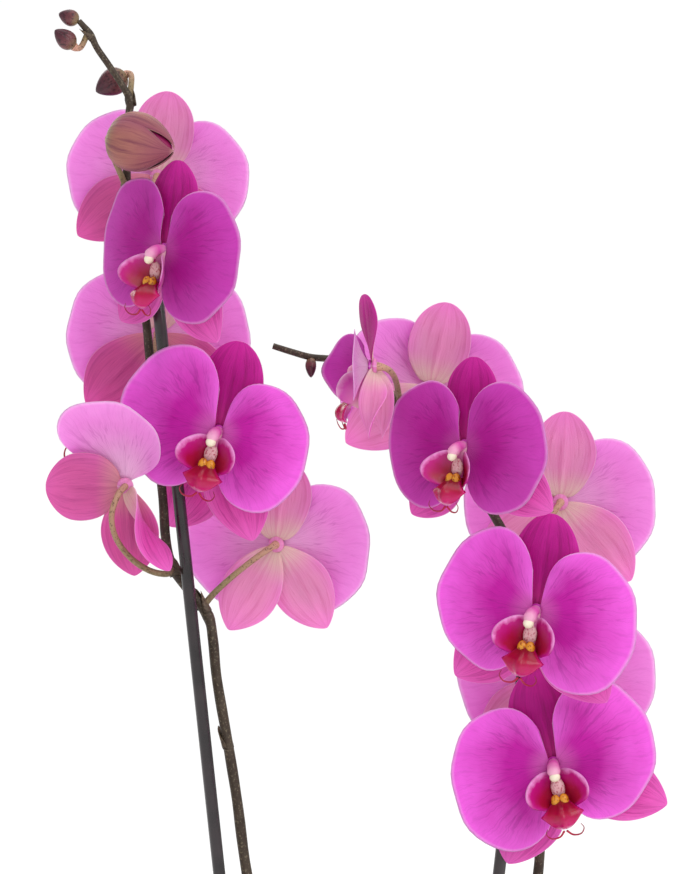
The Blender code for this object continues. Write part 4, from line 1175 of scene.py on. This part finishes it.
def leaf_surface(plant, azimuth, height, factor, rise, droop):
    """Middle surface and thickness of a strap leaf that rises from the crown and arches over."""
    rows, columns = LEAF_GRID
    crown_low, crown_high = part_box("crown")
    crown_radius = (crown_high[0] - crown_low[0]) / 2 / MM
    length = plant.leaf_length / MM * factor
    out = np.array((math.cos(math.radians(azimuth)), math.sin(math.radians(azimuth)), 0))
    across = np.array((-out[1], out[0], 0))
    here = out * (crown_radius + 2.0) + np.array((0, 0, height))
    grid = []
    for i in range(rows + 1):
        t = i / rows
        slope = math.radians(rise + (droop - rise) * t)
        shape = math.sin(math.pi * min(1.0, t * 0.98 + 0.02)) ** 0.7
        half = plant.leaf_width / MM / 2 * factor**0.3 * (0.22 + 0.78 * shape)
        if t > 0.6:
            half *= max(0.02, 1 - ((t - 0.6) / 0.4) ** 2.6)
        fold = 0.34 * (1 - t) + 0.10
        normal = np.array((-out[0] * math.sin(slope), -out[1] * math.sin(slope), math.cos(slope)))
        q = np.linspace(-1, 1, columns + 1)
        rib = -1.1 * np.exp(-((q / 0.07) ** 2)) * (1 - t)
        wave = 0.8 * np.sin(9 * t + azimuth) * q * abs(q)
        lifted = half * fold * abs(q) ** 1.4 + rib + wave
        grid.append(here + np.outer(half * q, across) + np.outer(lifted, normal))
        here = here + (out * math.cos(slope) + np.array((0, 0, math.sin(slope)))) * length / rows
    grid = np.array(grid)
    reach, across = unit_grid(rows + 1, columns + 1)
    return grid, thickness(plant.leaf_thickness / MM, reach, across, (12, 6), 24)


class ORCHID_OT_leaves(bpy.types.Operator):
    """Five leathery leaves and the crown that they grow from"""
    bl_idname = "orchid.leaves"
    bl_label = "Leaves and Crown"

    def execute(self, context):
        plant = context.scene.orchid_plant
        top = once(leaf_skin, "Leaf Upper Skin", (plant.leaf_colour, "#2c5220", "#6f9440"), 0.28)
        under = once(leaf_skin, "Leaf Under Skin", ("#6d8a4a", "#55733a", "#8aa560"), 0.4)
        for number, values in enumerate(LEAVES, 1):
            skins = Skins()
            grid, thick = leaf_surface(plant, *values)
            skins.blade(grid[:, ::-1], thick, under, top)
            skins.build(f"leaf_{number}_blade", "leaf", f"leaf_{number}")
        low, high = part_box("crown")
        radius, tall = (high[0] - low[0]) / 2 / MM, (high[2] - low[2]) / MM
        heights = np.linspace(0, 1, 30)
        rings = 1 + 0.05 * np.sin(heights * 40)  # about six, where old leaves sat
        skins = Skins()
        skins.rod([(0, 0, tall * t) for t in heights],
                  radius * np.interp(heights, (0, 0.5, 0.8, 1), (0.97, 0.97, 0.9, 0.5)) * rings, 32, under)
        skins.build("crown_stem", "leaf", "crown")
        return {"FINISHED"}


def board(name, low, high, edge, finish):
    """A planed board with rounded edges in place of the CAD board."""
    mesh = bpy.data.meshes.new(name)
    work = bmesh.new()
    bmesh.ops.create_cube(work, size=1.0)
    for point in work.verts:
        point.co = [(a + b) / 2 + c * (b - a) for a, b, c in zip(low, high, point.co)]
    bmesh.ops.bevel(work, geom=work.edges, offset=edge, segments=4, profile=0.5, affect="EDGES")
    work.to_mesh(mesh)
    work.free()
    mesh.materials.append(finish)
    mesh.polygons.foreach_set("use_smooth", [True] * len(mesh.polygons))
    mesh.set_sharp_from_angle(angle=math.radians(40))
    return show(name, mesh)


class ORCHID_OT_planter(bpy.types.Operator):
    """The pine box: four walls and a floor"""
    bl_idname = "orchid.planter"
    bl_label = "Pine Box"

    def execute(self, context):
        planter = context.scene.orchid_planter
        colour = tuple(planter.pine_colour)
        lengthwise = once(pine, "Oiled Pine Lengthwise", colour, (0.12, 1.0, 1.0))
        depthwise = once(pine, "Oiled Pine Depthwise", colour, (1.0, 0.12, 1.0))
        for name in ("front_board", "back_board", "left_board", "right_board", "base_board"):
            low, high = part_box(name)
            finish = depthwise if name in ("left_board", "right_board") else lengthwise
            thing = board(name + "_planed", low, high, planter.edge, finish)
            settle(thing, "pine", name)
        return {"FINISHED"}


def chip_tree():
    """Broken chips strewn over the base mesh, each with its own size, turn and tone."""
    tree = geometry_tree("Bark Chips On The Medium", {
        "Density": "NodeSocketFloat", "Length": "NodeSocketFloat", "Seed": "NodeSocketInt",
        "Bark": "NodeSocketMaterial"})
    start = node(tree, "NodeGroupInput")
    seed = start.outputs["Seed"]
    points = node(tree, "GeometryNodeDistributePointsOnFaces",
                  {"Mesh": start.outputs["Geometry"], "Density": start.outputs["Density"], "Seed": seed})
    block = node(tree, "GeometryNodeMeshCube",
                 {"Size": (1.0, 0.62, 0.3), "Vertices X": 4, "Vertices Y": 3, "Vertices Z": 2}).outputs[0]
    turn = node(tree, "FunctionNodeRandomValue", {0: (-0.6, -0.6, 0.0), 1: (0.6, 0.6, 6.28), "Seed": seed},
                data_type="FLOAT_VECTOR").outputs[0]
    turn = node(tree, "FunctionNodeEulerToRotation", {0: turn}).outputs[0]
    size = node(tree, "FunctionNodeRandomValue", {0: (0.6, 0.6, 0.7), 1: (1.35, 1.3, 1.5), "Seed": seed},
                data_type="FLOAT_VECTOR").outputs[0]
    size = node(tree, "ShaderNodeVectorMath", {0: size, "Scale": start.outputs["Length"]}, operation="SCALE")
    chips = node(tree, "GeometryNodeInstanceOnPoints", {
        "Points": points.outputs[0], "Instance": block, "Rotation": turn,
        "Scale": size.outputs[0]}).outputs[0]
    tone = node(tree, "FunctionNodeRandomValue", {2: 0.0, 3: 1.0, "Seed": seed}).outputs[1]
    chips = node(tree, "GeometryNodeStoreNamedAttribute", {0: chips, "Name": "tone", "Value": tone},
                 domain="INSTANCE").outputs[0]
    whole = node(tree, "GeometryNodeRealizeInstances", {0: chips}).outputs[0]
    rough = node(tree, "ShaderNodeTexNoise", {"Scale": 95.0, "Detail": 2.0}).outputs[1]
    crumble = node(tree, "ShaderNodeVectorMath", {0: rough, 1: (0.5, 0.5, 0.5)},
                   operation="SUBTRACT").outputs[0]
    crumble = node(tree, "ShaderNodeVectorMath", {0: crumble, "Scale": CHIP_CRUMBLE},
                   operation="SCALE").outputs[0]
    whole = node(tree, "GeometryNodeSetPosition", {0: whole, "Offset": crumble}).outputs[0]
    dressed = node(tree, "GeometryNodeSetMaterial", {0: whole, "Material": start.outputs["Bark"]}).outputs[0]
    node(tree, "NodeGroupOutput", {0: dressed})
    return tree


class ORCHID_OT_medium(bpy.types.Operator):
    """The potting bark: a filling with loose chips on top"""
    bl_idname = "orchid.medium"
    bl_label = "Potting Bark"

    def execute(self, context):
        planter = context.scene.orchid_planter
        bark = once(fir_bark, "Fir Bark Chips")
        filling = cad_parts["bark_medium"]
        filling.data.materials.clear()
        filling.data.materials.append(bark)
        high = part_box("bark_medium")[1]
        x, y, z = high[0] - CHIP_INSET, high[1] - CHIP_INSET, high[2] - CHIP_SINK
        base = bpy.data.meshes.new("bark_top")
        base.from_pydata([(-x, -y, z), (x, -y, z), (x, y, z), (-x, y, z)], [], [(0, 1, 2, 3)])
        inputs = {
            "Density": float(planter.chip_count), "Length": planter.chip_length, "Seed": CHIP_SEED,
            "Bark": bark,
        }
        chips = grow("bark_chips", base, chip_tree(), inputs, smooth=False)
        settle(chips, "bark")
        return {"FINISHED"}


class ORCHID_OT_stakes(bpy.types.Operator):
    """Two glossy stakes that hold the spikes up"""
    bl_idname = "orchid.stakes"
    bl_label = "Stakes"

    def execute(self, context):
        coat = once(stake_coat, "Plastic Coated Steel")
        for name, (foot, head) in STAKES.items():
            foot, head = Vector(foot), Vector(head)
            tip = head + (head - foot).normalized() * STAKE_TIP_LENGTH
            steps = [foot.lerp(head, t) for t in np.linspace(0, 1, STAKE_STEPS)]
            steps += [head.lerp(tip, t) for t, _ in STAKE_TIP]
            radii = [STAKE_RADIUS] * STAKE_STEPS + [STAKE_RADIUS * share for _, share in STAKE_TIP]
            skins = Skins()
            skins.rod([tuple(p) for p in steps], radii, 24, coat)
            skins.build(name + "_rod", "stake", name)
        return {"FINISHED"}


# ---------------------------------------------------------------- stage

class ORCHID_OT_stage(bpy.types.Operator):
    """Plain white floor, soft light and the camera"""
    bl_idname = "orchid.stage"
    bl_label = "Stage"

    def execute(self, context):
        stage = context.scene.orchid_stage
        scene = context.scene
        bpy.ops.mesh.primitive_circle_add(vertices=96, radius=stage.floor_radius, fill_type="NGON",
                                          location=(0, 0, 0))
        floor = context.object
        floor.name = "floor"
        floor.data.materials.append(once(stage_paper, "Studio Paper", tuple(stage.floor_colour)))
        world = bpy.data.worlds.new("soft_white")
        scene.world = world
        world.use_nodes = True
        tree = world.node_tree
        tree.nodes.clear()
        light = node(tree, "ShaderNodeBackground", {0: linear("#ffffff"), 1: stage.sky})
        backdrop = node(tree, "ShaderNodeBackground", {0: linear("#ffffff"), 1: stage.backdrop})
        seen = node(tree, "ShaderNodeLightPath").outputs["Is Camera Ray"]
        both = node(tree, "ShaderNodeMixShader", {0: seen, 1: light.outputs[0], 2: backdrop.outputs[0]})
        node(tree, "ShaderNodeOutputWorld", {0: both.outputs[0]})
        for name, place, power, width in (("key_light", (1.0, -1.4, 1.5), stage.key, 1.2),
                                          ("back_light", (-0.5, 1.3, 1.4), stage.back, 1.4)):
            lamp = bpy.data.lights.new(name, "AREA")
            lamp.energy = power
            lamp.size = width
            thing = show(name, lamp)
            thing.location = place
            thing.rotation_euler = (Vector(LAMP_AIM) - Vector(place)).to_track_quat("-Z", "Y").to_euler()
        top = bpy.data.lights.new("top_light", "SUN")
        top.energy = stage.noon
        top.angle = math.radians(60)
        show("top_light", top)
        lens = bpy.data.cameras.new("camera")
        lens.sensor_fit = "VERTICAL"
        lens.sensor_height = 36.0
        lens.lens = lens.sensor_height / 2 * CAMERA_DISTANCE / VIEW_HALF
        camera = show("camera", lens)
        camera.location = (0, -CAMERA_DISTANCE, CAMERA_HEIGHT)
        camera.rotation_euler = (math.radians(90), 0, 0)
        scene.camera = camera
        scene.view_settings.view_transform = "Standard"
        return {"FINISHED"}


# ---------------------------------------------------------------- panel and registration

class ORCHID_PT_sidebar(bpy.types.Panel):
    """Sizes, colours and the steps of the orchid"""
    bl_idname = "ORCHID_PT_sidebar"
    bl_label = "Potted Moth Orchid"
    bl_space_type = "VIEW_3D"
    bl_region_type = "UI"
    bl_category = "Orchid"

    def draw(self, context):
        for attribute, group in GROUPS.items():
            box = self.layout.box()
            for prop in group.__annotations__:
                box.prop(getattr(context.scene, attribute), prop)
        for step in STEPS:
            self.layout.operator(step.bl_idname)


GROUPS = {
    "orchid_flower": FlowerSettings, "orchid_plant": PlantSettings,
    "orchid_planter": PlanterSettings, "orchid_stage": StageSettings,
}
STEPS = (
    ORCHID_OT_stage, ORCHID_OT_planter, ORCHID_OT_medium, ORCHID_OT_leaves, ORCHID_OT_stakes,
    ORCHID_OT_stems, ORCHID_OT_buds, ORCHID_OT_flowers,
)


def register():
    for kind in (*GROUPS.values(), *STEPS, ORCHID_PT_sidebar):
        bpy.utils.register_class(kind)
    for attribute, group in GROUPS.items():
        setattr(bpy.types.Scene, attribute, PointerProperty(type=group))


def unregister():
    for attribute in GROUPS:
        delattr(bpy.types.Scene, attribute)
    for kind in reversed((*GROUPS.values(), *STEPS, ORCHID_PT_sidebar)):
        bpy.utils.unregister_class(kind)


def main():
    register()
    for step in STEPS:
        getattr(bpy.ops.orchid, step.bl_idname.split(".")[1])()


if __name__ == "__main__":
    main()
